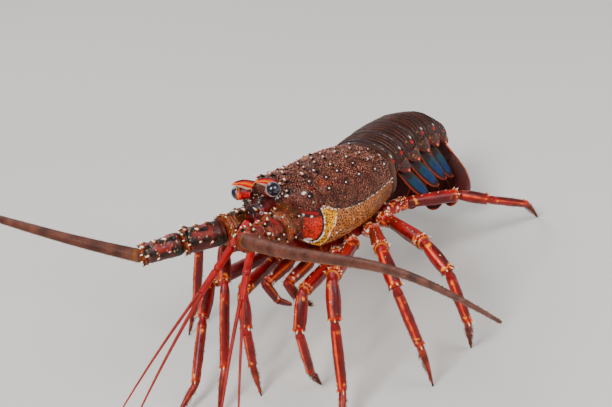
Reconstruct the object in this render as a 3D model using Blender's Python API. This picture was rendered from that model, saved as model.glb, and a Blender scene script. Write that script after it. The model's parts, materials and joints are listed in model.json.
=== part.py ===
"""Spiny lobster at life size, standing still on its ten legs.

Lengths are in millimetres and angles in degrees until a mesh is written, in metres.
The body frame has x to the animal's left, y towards its tail and z up, and starts
between the roots of the two horns. The stand frame is the floor that it stands on.
"""
import math
import random

import bmesh
import bpy
import numpy as np

MM = 0.001
GAP = 0.3
LEFTWARDS = (1.0, 0.0, 0.0)

# How the body stands: nose up, leaning a little to its right, horns this far above the floor.
BODY_PITCH = -11.5
BODY_ROLL = -7.7
BODY_HEIGHT = 102.2
# The middle of the footprint, feelers included, in the stand frame.
STAND_CENTRE = (-29.351, -12.328)

# Carapace: one row a station, as distance back, height of the ridge, half width, height of
# the widest place, half width at the lower edge and height of the lower edge.
CARAPACE = (
    (0.0, -1.5, 12.5, -11.0, 11.0, -24.0),
    (3.5, -0.5, 16.0, -14.0, 13.5, -31.0),
    (10.0, 0.0, 19.5, -16.5, 16.0, -37.0),
    (20.0, -0.5, 22.0, -18.0, 18.0, -39.0),
    (30.0, -1.6, 23.6, -19.0, 19.5, -39.5),
    (40.0, -2.0, 25.2, -19.5, 21.0, -39.0),
    (50.0, -2.4, 26.6, -20.0, 22.5, -38.0),
    (60.0, -3.2, 27.2, -20.5, 22.8, -36.5),
    (70.0, -4.4, 26.7, -21.0, 22.5, -34.5),
    (79.0, -5.8, 25.4, -21.0, 22.0, -33.0),
)
CARAPACE_STATIONS = 18
CARAPACE_ARCH = 11
ARCH_POWER = 0.85
NECK_GROOVE_AT = 31.0
NECK_GROOVE_SWEEP = 13.0
NECK_GROOVE_WIDTH = 3.2
NECK_GROOVE_DEPTH = 1.3
# Points between the widest place and the lower edge, and on the underside, as shares of its
# half width with how far each lies above the edge.
CARAPACE_SIDE_SHARES = (0.35, 0.7, 1.0)
CARAPACE_UNDERSIDE = ((0.55, 1.2), (0.0, 1.8))

# Sternum: distance back, half width and height of its underside.
STERNUM = (
    (12.0, 6.5, -43.0),
    (18.0, 9.0, -47.0),
    (26.0, 11.0, -49.5),
    (37.0, 13.0, -50.5),
    (48.0, 16.0, -49.5),
    (58.5, 18.5, -47.0),
    (68.0, 19.5, -44.0),
    (76.0, 17.0, -39.0),
)
# Its section: how far it reaches into the carapace, inset of its top, height of its widest
# place, inset and height of its lower corner, and the keel's share of the width and depth.
STERNUM_OVERLAP = 4.0
STERNUM_TOP_INSET = 1.5
STERNUM_SHOULDER = 6.0
STERNUM_CORNER = (2.0, 1.5)
STERNUM_KEEL = (0.5, 0.3)

# Abdomen: length of each ring and how far it points down, then half width and height at
# the seven joints.
RING_LENGTHS = (5.4, 13.2, 14.2, 14.4, 14.0, 14.5)
RING_PITCHES = (-4.0, -9.0, -8.0, -2.0, 8.0, 24.0)
RING_HALF_WIDTHS = (23.4, 23.4, 22.6, 21.3, 19.9, 18.3, 15.5)
RING_HEIGHTS = (19.2, 19.6, 19.0, 18.0, 17.0, 15.6, 13.0)
RING_START = (79.0, -24.8)
RING_ARCH = 8
RING_BELLY = 3.2
# Share along a ring and its swell there, and the places of the belly's points.
RING_SECTIONS = ((0.0, 0.975), (0.35, 1.0), (0.8, 1.0), (1.0, 0.985))
BELLY_SHARES = (0.86, 0.4, -0.4, -0.86)
# Side flaps: drop of each tip, share along its ring and inset of root and tip, margin along
# the ring, rise of the root, and share, spread and half thickness of each section.
PLEURON_DROPS = (0.0, 6.5, 6.5, 6.5, 6.0, 3.5)
PLEURON_ROOT = (0.5, 1.9)
PLEURON_TIP = (0.72, 0.6)
PLEURON_MARGIN = 0.9
PLEURON_RISE = 2.0
PLEURON_SECTIONS = ((0.0, 1.0, 1.1), (0.55, 0.72, 0.9), (1.0, 0.1, 0.45))
PLEURON_SIDES = 8
# Swimmerets: size, share along the ring and inset of the root, way of hanging as shares of
# down, back and outwards, and half widths at even steps as shares of half the width.
SWIMMERET_LENGTH = 23.0
SWIMMERET_WIDTH = 8.5
SWIMMERET_THICKNESS = 0.9
SWIMMERET_ROOT = (0.6, 5.0)
SWIMMERET_WAY = (0.93, 0.34, 0.3)
SWIMMERET_SPREADS = (0.47, 0.84, 1.0, 1.05, 0.93, 0.32)

# Tail fan: length, root and end width, root place, splay and layer of each leaf.
FAN_LEAVES = {
    "telson": (45.0, 13.0, 18.0, 0.0, 0.0, 0.0),
    "uropod_inner": (45.0, 6.0, 15.5, 7.0, 10.0, 2.0),
    "uropod_outer": (45.0, 5.0, 16.0, 10.0, 21.0, 4.0),
}
FAN_THICKNESS = (1.3, 0.75)
FAN_ROOT = 3.5
# The fan's bend at its root, and its curl over this length; its arch across, for each square
# millimetre, and the share of the last ring's height that it starts above the middle.
FAN_BEND = 57.0
FAN_CURL = 36.0
FAN_LENGTH = 36.0
FAN_STEPS = 12
FAN_ARCH = 0.006
FAN_RISE = 0.22
# A leaf reaches its full width at this share of its length, and rounds off over the last
# share, with its tip cut by this much; places of its rows and columns.
LEAF_WIDEST = 0.625
LEAF_ROUNDING = (0.72, 0.285)
LEAF_TIP = 0.02
LEAF_ROWS = 8
LEAF_COLUMNS = (-1.0, -0.4, 0.4, 1.0)

# Legs: half of the hips' spread, distance back and height in the body frame, then the
# lengths of ischium, merus, carpus and dactylus. The propodus is as long as it takes to
# set the toe on the floor.
HIPS = (
    (12.8, 26.0, -48.0),
    (14.7, 38.5, -46.8),
    (19.5, 50.3, -45.2),
    (21.8, 60.0, -43.0),
    (22.2, 70.0, -41.2),
)
LEG_LENGTHS = (
    (11.0, 34.0, 19.5, 17.0),
    (12.0, 42.0, 21.0, 23.0),
    (12.0, 44.0, 20.5, 23.5),
    (12.0, 38.0, 19.0, 20.5),
    (11.0, 32.0, 18.0, 17.0),
)
# Heading and rise of each length of each leg; a heading of 0 looks ahead, 90 to the left.
LEG_ANGLES = {
    "left": (
        ((43, 19), (1, 4), (-7, -59), (-129, -82), (-159, -58)),
        ((41, 21), (18, 11), (16, -54), (9, -69), (18, -39)),
        ((49, 21), (37, 17), (41, -37), (82, -81), (100, -87)),
        ((55, 19), (56, 3), (62, -35), (64, -78), (-137, -71)),
        ((163, -12), (142, -16), (137, -31), (155, -33), (176, -57)),
    ),
    "right": (
        ((-42, 9), (6, 7), (20, -57), (-57, -82), (21, -81)),
        ((-60, 4), (-41, -5), (12, -29), (8, -44), (-11, -27)),
        ((-42, 17), (-14, 24), (25, -35), (5, -58), (0, -50)),
        ((-70, 10), (-48, 20), (-50, -28), (-56, -70), (-40, -60)),
        ((-160, -8), (-142, -14), (-137, -30), (-150, -32), (-170, -50)),
    ),
}
# Radii of hip, thigh, knee, shin, hand, toe's root and toe's tip, then each length's shares
# of them: hip, thigh with knee, shin with thigh, hand and toe.
LEG_RADII = (4.1, 3.1, 3.9, 3.6, 2.6, 1.9, 0.45)
HIP_SHARES = (1.0, 1.0, 0.9)
THIGH_SHARES = (1.0, 1.12)
KNEE_SHARES = (1.0, 0.86)
SHIN_SHARES = (0.82, 1.0, 0.8)
HAND_SHARES = (0.95, 1.0, 0.82)
TOE_SHARE = 0.7
LEG_SIDES = 8
# The first and last legs are this much thinner than the others.
OUTER_LEG_SCALE = 0.92
# How far each joint's root is sunk into the one before it, and how far a hip into the body.
LIMB_SUNK = 1.5
HIP_SUNK = 6.0
FOOT_FLAT = 0.35
TOE_KINK = 0.55
TOE_SIDES = 6

# Antennae: segment lengths, radii at their ends, and the heading and rise of each one.
ANTENNA_ROOT = (11.5, 0.5, -20.5)
ANTENNA_LENGTHS = (18.5, 20.0, 21.0)
ANTENNA_RADII = ((8.6, 7.6), (6.4, 6.0), (5.6, 4.9))
# Shares of the first and last radius at the ends of a joint, and how deep its root is sunk.
ANTENNA_NECK = 0.93
ANTENNA_RIM = 1.04
ANTENNA_END = 0.9
ANTENNA_SUNK = 1.2
ANTENNA_SIDES = 12
ANTENNA_ANGLES = {
    "left": ((12, 16), (18, 24), (24, 28)),
    "right": ((-18, 16), (-42, 6), (-45, 3)),
}
FLAGELLUM_LENGTH = 232.0
FLAGELLUM_RADII = (3.3, 0.45)
FLAGELLUM_TAPER = 0.85
FLAGELLUM_SPLIT = 0.42
FLAGELLUM_STEPS = 28
LASH_SIDES = 8
FLAGELLUM_ANGLES = {
    "left": ((62, 12), (65, 16), (50, 20), (44, 22)),
    "right": ((-84, 12), (-94, 7), (-95, 4), (-97, 2)),
}

# Antennules: peduncle lengths, feeler length, and the heading and rise along them.
ANTENNULE_ROOT = (3.4, -11.5, -16.5)
ANTENNULE_LENGTH = 42.0
ANTENNULE_RADII = (2.3, 1.6)
FEELER_LENGTH = 72.0
FEELER_RADII = (1.2, 0.4)
FEELER_SPREAD = 5.0
FEELER_STEPS = 9
# Thickness of the outer and inner feeler, and how far each starts off the stalk's middle.
FEELER_SCALES = {"outer": (1.0, 0.75), "inner": (-1.0, 0.85)}
STALK_STEPS = 6
STALK_SIDES = 8
FEELER_SIDES = 6
ANTENNULE_ANGLES = {
    "left": ((8, -25), (14, -32), (8, -50)),
    "right": ((-10, -20), (-14, -24), (-14, -32)),
}

HORN_ROOT = (6.4, 3.5, -4.0)
HORN_TIP = (7.4, -10.5, 3.2)
HORN_ARCH = 1.2
HORN_HEIGHT = 3.3
HORN_TIP_RADIUS = 0.35
HORN_TAPER = 0.8
HORN_STEPS = (0.0, 0.3, 0.6, 0.85, 1.0)
HORN_FLATNESS = 0.62
HORN_UP = (0.0, 0.35, 0.94)
HORN_SIDES = 8
EYE = (11.0, -4.0, -3.2)
EYE_RADIUS = 3.7
EYE_SIDES = 10
# The eye's ball, from just behind its middle to its front, as degrees along its axis.
EYE_RINGS = (-70.0, 80.0, 7)
# The eye's stalk: how far its root lies inwards, back and down from the eye, and its radii.
EYE_STALK_ROOT = (-5.0, 3.0, -2.0)
EYE_STALK_RADII = (2.4, 2.5, 2.7)

# Plate between the antennae, and mouth: distance back, half width, height of top and underside.
PLATE = ((4.0, 7.0, -5.0, -26.0), (-4.0, 6.5, -7.0, -24.0), (-11.0, 5.5, -9.5, -20.5))
# Bevel of the front plate's section, and the mouth's narrower floor and its height.
PLATE_BEVEL = (0.6, 3.0)
MOUTH_FLOOR = (0.6, 4.0)
MOUTH = ((22.0, 10.0, -30.0, -46.0), (10.0, 10.0, -28.0, -44.0), (-2.0, 7.5, -26.0, -36.0))

# Outer mouth legs: joints, and radii along each of their three lengths.
MAXILLIPED_JOINTS = ((6.5, 15.0, -47.0), (7.0, -8.0, -50.0), (6.5, -3.0, -61.0), (5.5, 5.0, -67.0))
MAXILLIPED_RADII = ((3.2, 3.1, 2.4), (2.3, 2.4, 1.9), (1.9, 1.6, 0.8))
MAXILLIPED_SIDES = 7

# Spines: sides, depth of the sunk root, lean ahead for each unit outwards, and the draw.
SPINE_SIDES = 5
SPINE_SUNK = 1.1
SPINE_LEAN = 0.8
SPINE_SEED = 11
# Rows on the carapace: angle from the ridge, place of the first spine, and step.
CARAPACE_SPINE_ROWS = (
    (9.0, 9.0, 10.5),
    (24.0, 13.0, 10.5),
    (41.0, 8.0, 10.5),
    (58.0, 5.0, 11.0),
    (75.0, 12.0, 11.5),
)
CARAPACE_SPINE_END = 74.0
CARAPACE_SPINE_SCATTER = (1.6, 3.0)
CARAPACE_SPINE_LENGTHS = (4.8, 2.2)
CARAPACE_SPINE_RADII = (1.25, 0.8)
# Spines on each antenna joint: share along it, and angles around it from its inner side.
ANTENNA_SPINE_RINGS = (
    (0.5, (60.0, 110.0, 160.0)),
    (0.88, (45.0, 85.0, 125.0, 165.0, 205.0, 250.0)),
)
ANTENNA_SPINE = (3.6, 0.95)
# Spines over each knee, and the two at the front of the plate between the antennae.
KNEE_SPINES = ((0.9, (60.0, 115.0)),)
KNEE_SPINE = (2.6, 0.75)
PLATE_SPINE_ROOT = (3.2, -9.5, -11.5)
PLATE_SPINE = (4.6, 1.1)
PLATE_SPINE_WAY = (0.15, -1.0, 0.75)
# How far a limb's spine stands inside its radius, and a draw of the carapace spines' lengths.
SPINE_FOOT = 0.97
SPINE_LENGTH_DRAW = (0.75, 1.1)


def unit(vector):
    vector = np.asarray(vector, float)
    return vector / np.linalg.norm(vector)


def body_turn():
    """Turn from the body frame to the stand frame."""
    pitch = math.radians(BODY_PITCH)
    roll = math.radians(BODY_ROLL)
    nod = np.array([[1, 0, 0], [0, math.cos(pitch), -math.sin(pitch)], [0, math.sin(pitch), math.cos(pitch)]])
    lean = np.array([[math.cos(roll), 0, math.sin(roll)], [0, 1, 0], [-math.sin(roll), 0, math.cos(roll)]])
    return lean @ nod


TURN = body_turn()


def stand(points):
    """Body frame to stand frame."""
    offset = np.array([-STAND_CENTRE[0], -STAND_CENTRE[1], BODY_HEIGHT])
    return np.asarray(points, float) @ TURN.T + offset


def heading(yaw, rise):
    """Direction in the stand frame: yaw from straight ahead to the left, rise above the floor."""
    yaw = math.radians(yaw)
    rise = math.radians(rise)
    return np.array([math.sin(yaw) * math.cos(rise), -math.cos(yaw) * math.cos(rise), math.sin(rise)])


def side_sign(side):
    return 1.0 if side == "left" else -1.0


def smooth_rows(rows, at):
    """Values between the rows of a table, whose first column is the place."""
    rows = np.asarray(rows, float)
    place = rows[:, 0]
    slope = np.gradient(rows[:, 1:], place, axis=0)
    index = int(np.clip(np.searchsorted(place, at) - 1, 0, len(place) - 2))
    span = place[index + 1] - place[index]
    t = (at - place[index]) / span
    start = rows[index, 1:]
    end = rows[index + 1, 1:]
    return (
        (2 * t**3 - 3 * t**2 + 1) * start
        + (t**3 - 2 * t**2 + t) * span * slope[index]
        + (3 * t**2 - 2 * t**3) * end
        + (t**3 - t**2) * span * slope[index + 1]
    )


def mesh_object(name, points, faces):
    mesh = bpy.data.meshes.new(name)
    mesh.from_pydata([tuple(p) for p in np.asarray(points) * MM], [], faces)
    shape = bmesh.new()
    shape.from_mesh(mesh)
    bmesh.ops.recalc_face_normals(shape, faces=shape.faces)
    shape.to_mesh(mesh)
    shape.free()
    result = bpy.data.objects.new(name, mesh)
    bpy.context.scene.collection.objects.link(result)
    return result


def loft(name, rings):
    """Closed surface through rings of equal count, in triangles, with fans over its two ends."""
    count = len(rings[0])
    points = np.vstack([np.asarray(ring, float) for ring in rings])
    faces = []
    for row in range(len(rings) - 1):
        for k in range(count):
            a = row * count + k
            b = row * count + (k + 1) % count
            faces.append((a, b, b + count))
            faces.append((a, b + count, a + count))
    last = (len(rings) - 1) * count
    middle = len(points)
    points = np.vstack([points, rings[0].mean(axis=0), rings[-1].mean(axis=0)])
    for k in range(count):
        faces.append((middle, (k + 1) % count, k))
        faces.append((middle + 1, last + k, last + (k + 1) % count))
    return mesh_object(name, points, faces)


def round_ring(centre, across, up, wide, tall, sides):
    angles = np.arange(sides) * 2 * math.pi / sides
    return (
        np.asarray(centre, float)
        + np.outer(np.cos(angles) * wide, across)
        + np.outer(np.sin(angles) * tall, up)
    )


def tube(name, centres, radii, sides, up=(0.0, 0.0, 1.0), flat=1.0):
    """Round bar through its centres; flat squeezes it across."""
    centres = np.asarray(centres, float)
    rings = []
    for k in range(len(centres)):
        ahead = unit(centres[min(k + 1, len(centres) - 1)] - centres[max(k - 1, 0)])
        across = unit(np.cross(ahead, up))
        over = np.cross(across, ahead)
        rings.append(round_ring(centres[k], across, over, radii[k] * flat, radii[k], sides))
    return loft(name, rings)


def segment(name, start, end, radii, sides, up=(0.0, 0.0, 1.0), flat=1.0, sunk=0.0):
    """One joint of a limb: straight, with its radii spread evenly along it."""
    start = np.asarray(start, float)
    end = np.asarray(end, float)
    start = start - unit(end - start) * sunk
    steps = np.linspace(0.0, 1.0, len(radii))
    centres = [start + (end - start) * t for t in steps]
    return tube(name, centres, radii, sides, up, flat)


def sheet(name, grid, normals, thickness):
    """Thin curved plate; both faces are split along the same diagonals."""
    grid = np.asarray(grid, float)
    rows, columns = grid.shape[:2]
    half = np.asarray(normals, float) * (np.asarray(thickness, float)[:, :, None] / 2)
    top = (grid + half).reshape(-1, 3)
    under = (grid - half).reshape(-1, 3)
    points = np.vstack([top, under])
    lower = rows * columns
    faces = []
    for r in range(rows - 1):
        for c in range(columns - 1):
            a = r * columns + c
            b = a + 1
            d = a + columns
            e = d + 1
            faces += [(a, b, e), (a, e, d)]
            faces += [(lower + a, lower + e, lower + b), (lower + a, lower + d, lower + e)]
    rim = [(0, c) for c in range(columns)]
    rim += [(r, columns - 1) for r in range(1, rows)]
    rim += [(rows - 1, c) for c in range(columns - 2, -1, -1)]
    rim += [(r, 0) for r in range(rows - 2, 0, -1)]
    for k in range(len(rim)):
        a = rim[k][0] * columns + rim[k][1]
        b = rim[(k + 1) % len(rim)][0] * columns + rim[(k + 1) % len(rim)][1]
        faces += [(a, lower + b, b), (a, lower + a, lower + b)]
    return mesh_object(name, points, faces)


def combine(target, others, operation):
    """Boolean of one object with a collection of others, which are then removed."""
    group = bpy.data.collections.new("tools")
    for other in others:
        group.objects.link(other)
    step = target.modifiers.new("combine", "BOOLEAN")
    step.operation = operation
    step.operand_type = "COLLECTION"
    step.collection = group
    step.solver = "EXACT"
    view = bpy.context.evaluated_depsgraph_get()
    result = bpy.data.meshes.new_from_object(target.evaluated_get(view))
    target.modifiers.remove(step)
    target.data = result
    for other in others:
        bpy.data.objects.remove(other, do_unlink=True)
    bpy.data.collections.remove(group)
    keep_largest(target)


def keep_largest(target):
    """Keep only the largest closed surface of a solid."""
    shape = bmesh.new()
    shape.from_mesh(target.data)
    bmesh.ops.remove_doubles(shape, verts=shape.verts, dist=2e-6)
    bmesh.ops.dissolve_degenerate(shape, edges=shape.edges, dist=2e-6)
    bmesh.ops.triangulate(shape, faces=shape.faces)
    left = set(shape.faces)
    groups = []
    while left:
        seed = left.pop()
        group = [seed]
        front = [seed]
        while front:
            face = front.pop()
            for edge in face.edges:
                for other in edge.link_faces:
                    if other in left:
                        left.discard(other)
                        group.append(other)
                        front.append(other)
        groups.append(group)
    groups.sort(key=lambda g: sum(f.calc_area() for f in g), reverse=True)
    for group in groups[1:]:
        bmesh.ops.delete(shape, geom=group, context="FACES")
    loose = [v for v in shape.verts if not v.link_faces]
    bmesh.ops.delete(shape, geom=loose, context="VERTS")
    shape.to_mesh(target.data)
    shape.free()


def grown(source, by=GAP):
    """Copy of a solid whose skin lies a little further out."""
    copy = source.copy()
    copy.data = source.data.copy()
    bpy.context.scene.collection.objects.link(copy)
    shape = bmesh.new()
    shape.from_mesh(copy.data)
    shape.normal_update()
    moves = [v.normal * (by * MM * min(v.calc_shell_factor(), 2.0)) for v in shape.verts]
    for vertex, move in zip(shape.verts, moves):
        vertex.co += move
    shape.to_mesh(copy.data)
    shape.free()
    return copy


def clear_of(target, neighbours):
    """Cut a solid back to the gap that touching pieces keep."""
    for neighbour in neighbours:
        combine(target, [grown(neighbour)], "DIFFERENCE")


def join(target, others):
    combine(target, others, "UNION")
    return target


def spine(foot, out, length, radius):
    """Cone that leans along out, with its root sunk below the skin that it stands on."""
    out = unit(out)
    across = unit(np.cross(out, (0.3, 0.2, 1.0)))
    over = np.cross(across, out)
    root = radius * (1.0 + SPINE_SUNK / length)
    points = list(round_ring(foot - out * SPINE_SUNK, across, over, root, root, SPINE_SIDES))
    points.append(foot + out * length)
    faces = [tuple(range(SPINE_SIDES))]
    faces += [(k, (k + 1) % SPINE_SIDES, SPINE_SIDES) for k in range(SPINE_SIDES)]
    return mesh_object("spine", points, faces)


def limb_spines(start, end, radii, rings, size, side):
    """Spines on one straight joint; angles count from its inner side, over the top."""
    ahead = unit(end - start)
    across = unit(np.cross(ahead, (0.0, 0.0, 1.0))) * side_sign(side)
    over = np.cross(unit(np.cross(ahead, (0.0, 0.0, 1.0))), ahead)
    spines = []
    for share, angles in rings:
        radius = np.interp(share, np.linspace(0.0, 1.0, len(radii)), radii)
        centre = start + (end - start) * share
        for angle in angles:
            a = math.radians(angle)
            out = across * math.cos(a) + over * math.sin(a)
            spines.append(spine(centre + out * radius * SPINE_FOOT, out + ahead * SPINE_LEAN, *size))
    return spines


def carapace_skin(at, angle):
    """Point of the back, angle degrees to the left of the ridge, in the body frame."""
    ridge, wide, wide_at = smooth_rows(CARAPACE, at)[:3]
    a = math.radians(angle)
    groove_at = NECK_GROOVE_AT - NECK_GROOVE_SWEEP * abs(math.sin(a)) ** 2
    depth = NECK_GROOVE_DEPTH * math.exp(-(((at - groove_at) / NECK_GROOVE_WIDTH) ** 2))
    x = (wide - depth) * math.sin(a)
    z = wide_at + (ridge - depth - wide_at) * abs(math.cos(a)) ** ARCH_POWER
    return np.array([x, at, z])


def carapace_spines():
    """Rows of spines that lean ahead and get smaller towards the rear."""
    draw = random.Random(SPINE_SEED)
    spines = []
    for angle, first, step in CARAPACE_SPINE_ROWS:
        for place in np.arange(first, CARAPACE_SPINE_END, step):
            for sign in (1.0, -1.0):
                at = place + draw.uniform(-1.0, 1.0) * CARAPACE_SPINE_SCATTER[0]
                turn = (angle + draw.uniform(-1.0, 1.0) * CARAPACE_SPINE_SCATTER[1]) * sign
                foot = carapace_skin(at, turn)
                along = carapace_skin(at + 0.5, turn) - foot
                around = carapace_skin(at, turn + 0.5) - foot
                out = unit(np.cross(along, around)) + np.array([0.0, -SPINE_LEAN, 0.0])
                fade = at / CARAPACE[-1][0]
                length = np.interp(fade, (0.0, 1.0), CARAPACE_SPINE_LENGTHS)
                length = length * draw.uniform(*SPINE_LENGTH_DRAW)
                radius = np.interp(fade, (0.0, 1.0), CARAPACE_SPINE_RADII)
                spines.append(spine(stand(foot), TURN @ out, length, radius))
    return spines


def carapace_ring(at):
    wide, wide_at, low_wide, low_at = smooth_rows(CARAPACE, at)[1:]
    ring = [carapace_skin(at, angle) for angle in np.linspace(-90.0, 90.0, 2 * CARAPACE_ARCH - 1)]
    lower = []
    for share in CARAPACE_SIDE_SHARES:
        s = math.radians(90.0 * share)
        x = low_wide + (wide - low_wide) * math.cos(s)
        lower.append((x, at, wide_at + (low_at - wide_at) * math.sin(s)))
    (share, rise), (_, middle_rise) = CARAPACE_UNDERSIDE
    floor_wide = low_wide * share
    under = [(floor_wide, at, low_at + rise), (0.0, at, low_at + middle_rise)]
    under.append((-floor_wide, at, low_at + rise))
    mirrored = [(-x, y, z) for x, y, z in reversed(lower)]
    return stand(ring + lower + under + mirrored)


def build_carapace():
    places = np.linspace(0.0, 1.0, CARAPACE_STATIONS) * CARAPACE[-1][0]
    carapace = loft("carapace", [carapace_ring(at) for at in places])
    return join(carapace, carapace_spines())


def build_sternum(carapace):
    rings = []
    for at, wide, low in STERNUM:
        top = smooth_rows(CARAPACE, at)[4] + STERNUM_OVERLAP
        inset, corner = STERNUM_CORNER
        half = [(wide - STERNUM_TOP_INSET, top), (wide, low + STERNUM_SHOULDER), (wide - inset, low + corner)]
        half += [(wide * STERNUM_KEEL[0], low), (0.0, low - STERNUM_KEEL[1])]
        right = [(-x, z) for x, z in reversed(half[:-1])]
        rings.append(stand([(x, at, z) for x, z in half + right]))
    sternum = loft("sternum", rings)
    clear_of(sternum, [carapace])
    return sternum


def ring_frames():
    """Joint centres and directions of the abdomen, in the body frame."""
    centres = [np.array([0.0, RING_START[0] + GAP, RING_START[1]])]
    ahead = []
    for length, pitch in zip(RING_LENGTHS, RING_PITCHES):
        p = math.radians(pitch)
        direction = np.array([0.0, math.cos(p), -math.sin(p)])
        ahead.append(direction)
        centres.append(centres[-1] + direction * length)
    return centres, ahead


def belly_ring(centre, along, wide, tall):
    """Section of the abdomen: an arch over a flat belly."""
    over = np.cross(LEFTWARDS, along)
    ring = []
    for angle in np.linspace(-90.0, 90.0, 2 * RING_ARCH - 1):
        a = math.radians(angle)
        sideways = np.array([wide * math.sin(a), 0.0, 0.0])
        ring.append(centre + sideways + over * tall * abs(math.cos(a)) ** ARCH_POWER)
    for share in BELLY_SHARES:
        ring.append(centre + np.array([wide * share, 0, 0]) - over * RING_BELLY)
    return ring


def build_abdomen():
    centres, ahead = ring_frames()
    rings = []
    for k in range(len(RING_LENGTHS)):
        start_way = unit(ahead[max(k - 1, 0)] + ahead[k]) if k else np.array([0.0, 1.0, 0.0])
        end_way = unit(ahead[k] + ahead[min(k + 1, len(ahead) - 1)])
        first = centres[k] + start_way * (GAP / 2 if k else 0.0)
        last = centres[k + 1] - end_way * GAP / 2
        sections = []
        for share, swell in RING_SECTIONS:
            way = unit(start_way * (1 - share) + end_way * share)
            wide = RING_HALF_WIDTHS[k] * (1 - share) + RING_HALF_WIDTHS[k + 1] * share
            tall = RING_HEIGHTS[k] * (1 - share) + RING_HEIGHTS[k + 1] * share
            place = first + (last - first) * share
            sections.append(stand(belly_ring(place, way, wide * swell, tall * swell)))
        ring = loft(f"abdomen_{k + 1}", sections)
        extras = []
        if k > 0:
            for side in (1.0, -1.0):
                extras.append(pleuron(k, side, centres, ahead))
        if 1 <= k <= 4:
            for side in (1.0, -1.0):
                extras.append(swimmeret(k, side, centres, ahead))
        if extras:
            join(ring, extras)
        rings.append(ring)
    return rings


def pleuron(k, side, centres, ahead):
    """Pointed side flap of one ring."""
    along = ahead[k]
    over = np.cross(LEFTWARDS, along)
    length = RING_LENGTHS[k]
    wide = (RING_HALF_WIDTHS[k] + RING_HALF_WIDTHS[k + 1]) / 2
    root_at, root_inset = PLEURON_ROOT
    tip_at, tip_inset = PLEURON_TIP
    root = centres[k] + along * length * root_at + np.array([side * (wide - root_inset), 0.0, 0.0])
    tip = centres[k] + along * length * tip_at + np.array([side * (wide - tip_inset), 0.0, 0.0])
    tip = tip - over * PLEURON_DROPS[k]
    half = length / 2 - PLEURON_MARGIN
    rings = []
    for t, spread, thick in PLEURON_SECTIONS:
        centre = (root + over * PLEURON_RISE) * (1 - t) + tip * t
        rings.append(stand(round_ring(centre, along, LEFTWARDS, half * spread, thick, PLEURON_SIDES)))
    return loft("pleuron", rings)


def swimmeret(k, side, centres, ahead):
    """Leaf-shaped swimmeret that hangs from the edge of the belly."""
    along = ahead[k]
    over = np.cross(LEFTWARDS, along)
    wide = (RING_HALF_WIDTHS[k] + RING_HALF_WIDTHS[k + 1]) / 2
    root_at, inset = SWIMMERET_ROOT
    root = centres[k] + along * RING_LENGTHS[k] * root_at + np.array([side * (wide - inset), 0.0, 0.0])
    hang, back, outwards = SWIMMERET_WAY
    down = unit(-over * hang + along * back + np.array([side * outwards, 0.0, 0.0]))
    broad = unit(along - down * np.dot(along, down))
    normal = np.cross(down, broad)
    rows = np.linspace(0.0, 1.0, len(SWIMMERET_SPREADS))
    grid = []
    for t, share in zip(rows, SWIMMERET_SPREADS):
        spread = SWIMMERET_WIDTH / 2 * share
        centre = root + down * SWIMMERET_LENGTH * t
        grid.append([centre + broad * spread * q for q in (-1.0, 0.0, 1.0)])
    grid = stand(np.array(grid).reshape(-1, 3)).reshape(len(rows), 3, 3)
    normals = np.tile(TURN @ normal, (len(rows), 3, 1))
    return sheet("swimmeret", grid, normals, np.full((len(rows), 3), SWIMMERET_THICKNESS))


def fan_point(x, s, layer):
    """Place on the curled sheet of the tail fan: x to the left, s along it."""
    centres, ahead = ring_frames()
    pitch0 = RING_PITCHES[-1] + FAN_BEND
    hinge_up = np.cross(LEFTWARDS, ahead[-1]) * RING_HEIGHTS[-1] * FAN_RISE
    place = centres[-1] + ahead[-1] * GAP + hinge_up
    for k in range(FAN_STEPS):
        p = math.radians(pitch0 + FAN_CURL * (s * (k + 0.5) / FAN_STEPS) / FAN_LENGTH)
        place = place + np.array([0.0, math.cos(p), -math.sin(p)]) * s / FAN_STEPS
    p = math.radians(pitch0 + FAN_CURL * s / FAN_LENGTH)
    along = np.array([0.0, math.cos(p), -math.sin(p)])
    over = np.cross(LEFTWARDS, along)
    depth = layer + FAN_ARCH * x * x
    return place + np.array([x, 0.0, 0.0]) - over * depth, over


def build_fan(last_ring):
    leaves = []
    for kind, (length, root_wide, end_wide, root_x, splay, layer) in FAN_LEAVES.items():
        sides = (0.0,) if kind == "telson" else (1.0, -1.0)
        for side in sides:
            turn = math.radians(splay) * side
            grid = []
            normals = []
            for t in np.linspace(0.0, 1.0, LEAF_ROWS):
                spread = root_wide + (end_wide - root_wide) * min(1.0, t / LEAF_WIDEST)
                rounding = max(0.0, (t - LEAF_ROUNDING[0]) / LEAF_ROUNDING[1])
                spread = spread / 2 * math.sqrt(max(LEAF_TIP, 1 - rounding**2))
                row = []
                row_normals = []
                for q in LEAF_COLUMNS:
                    s = -FAN_ROOT + (length + FAN_ROOT) * t
                    across = q * spread
                    x = root_x * side + s * math.sin(turn) + across * math.cos(turn)
                    y = s * math.cos(turn) - across * math.sin(turn)
                    point, over = fan_point(x, y, layer)
                    row.append(stand(point))
                    row_normals.append(TURN @ over)
                grid.append(row)
                normals.append(row_normals)
            thickness = np.linspace(*FAN_THICKNESS, LEAF_ROWS)[:, None] * np.ones((1, len(LEAF_COLUMNS)))
            name = kind if kind == "telson" else f"{kind}_{'left' if side > 0 else 'right'}"
            leaf = sheet(name, grid, normals, thickness)
            clear_of(leaf, [last_ring])
            leaves.append(leaf)
    return leaves


def leg_joints(side, number):
    """Hip, four joints and toe of one leg; the toe is set down on the floor."""
    x, y, z = HIPS[number]
    joints = [stand((x * side_sign(side), y, z))]
    lengths = LEG_LENGTHS[number]
    angles = LEG_ANGLES[side][number]
    for length, (yaw, rise) in zip(lengths[:3], angles[:3]):
        joints.append(joints[-1] + heading(yaw, rise) * length)
    hand = heading(*angles[3])
    claw = heading(*angles[4]) * lengths[3]
    reach = (joints[-1][2] + claw[2] - FOOT_FLAT) / -hand[2]
    joints.append(joints[-1] + hand * reach)
    joints.append(joints[-1] + claw)
    return joints


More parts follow.
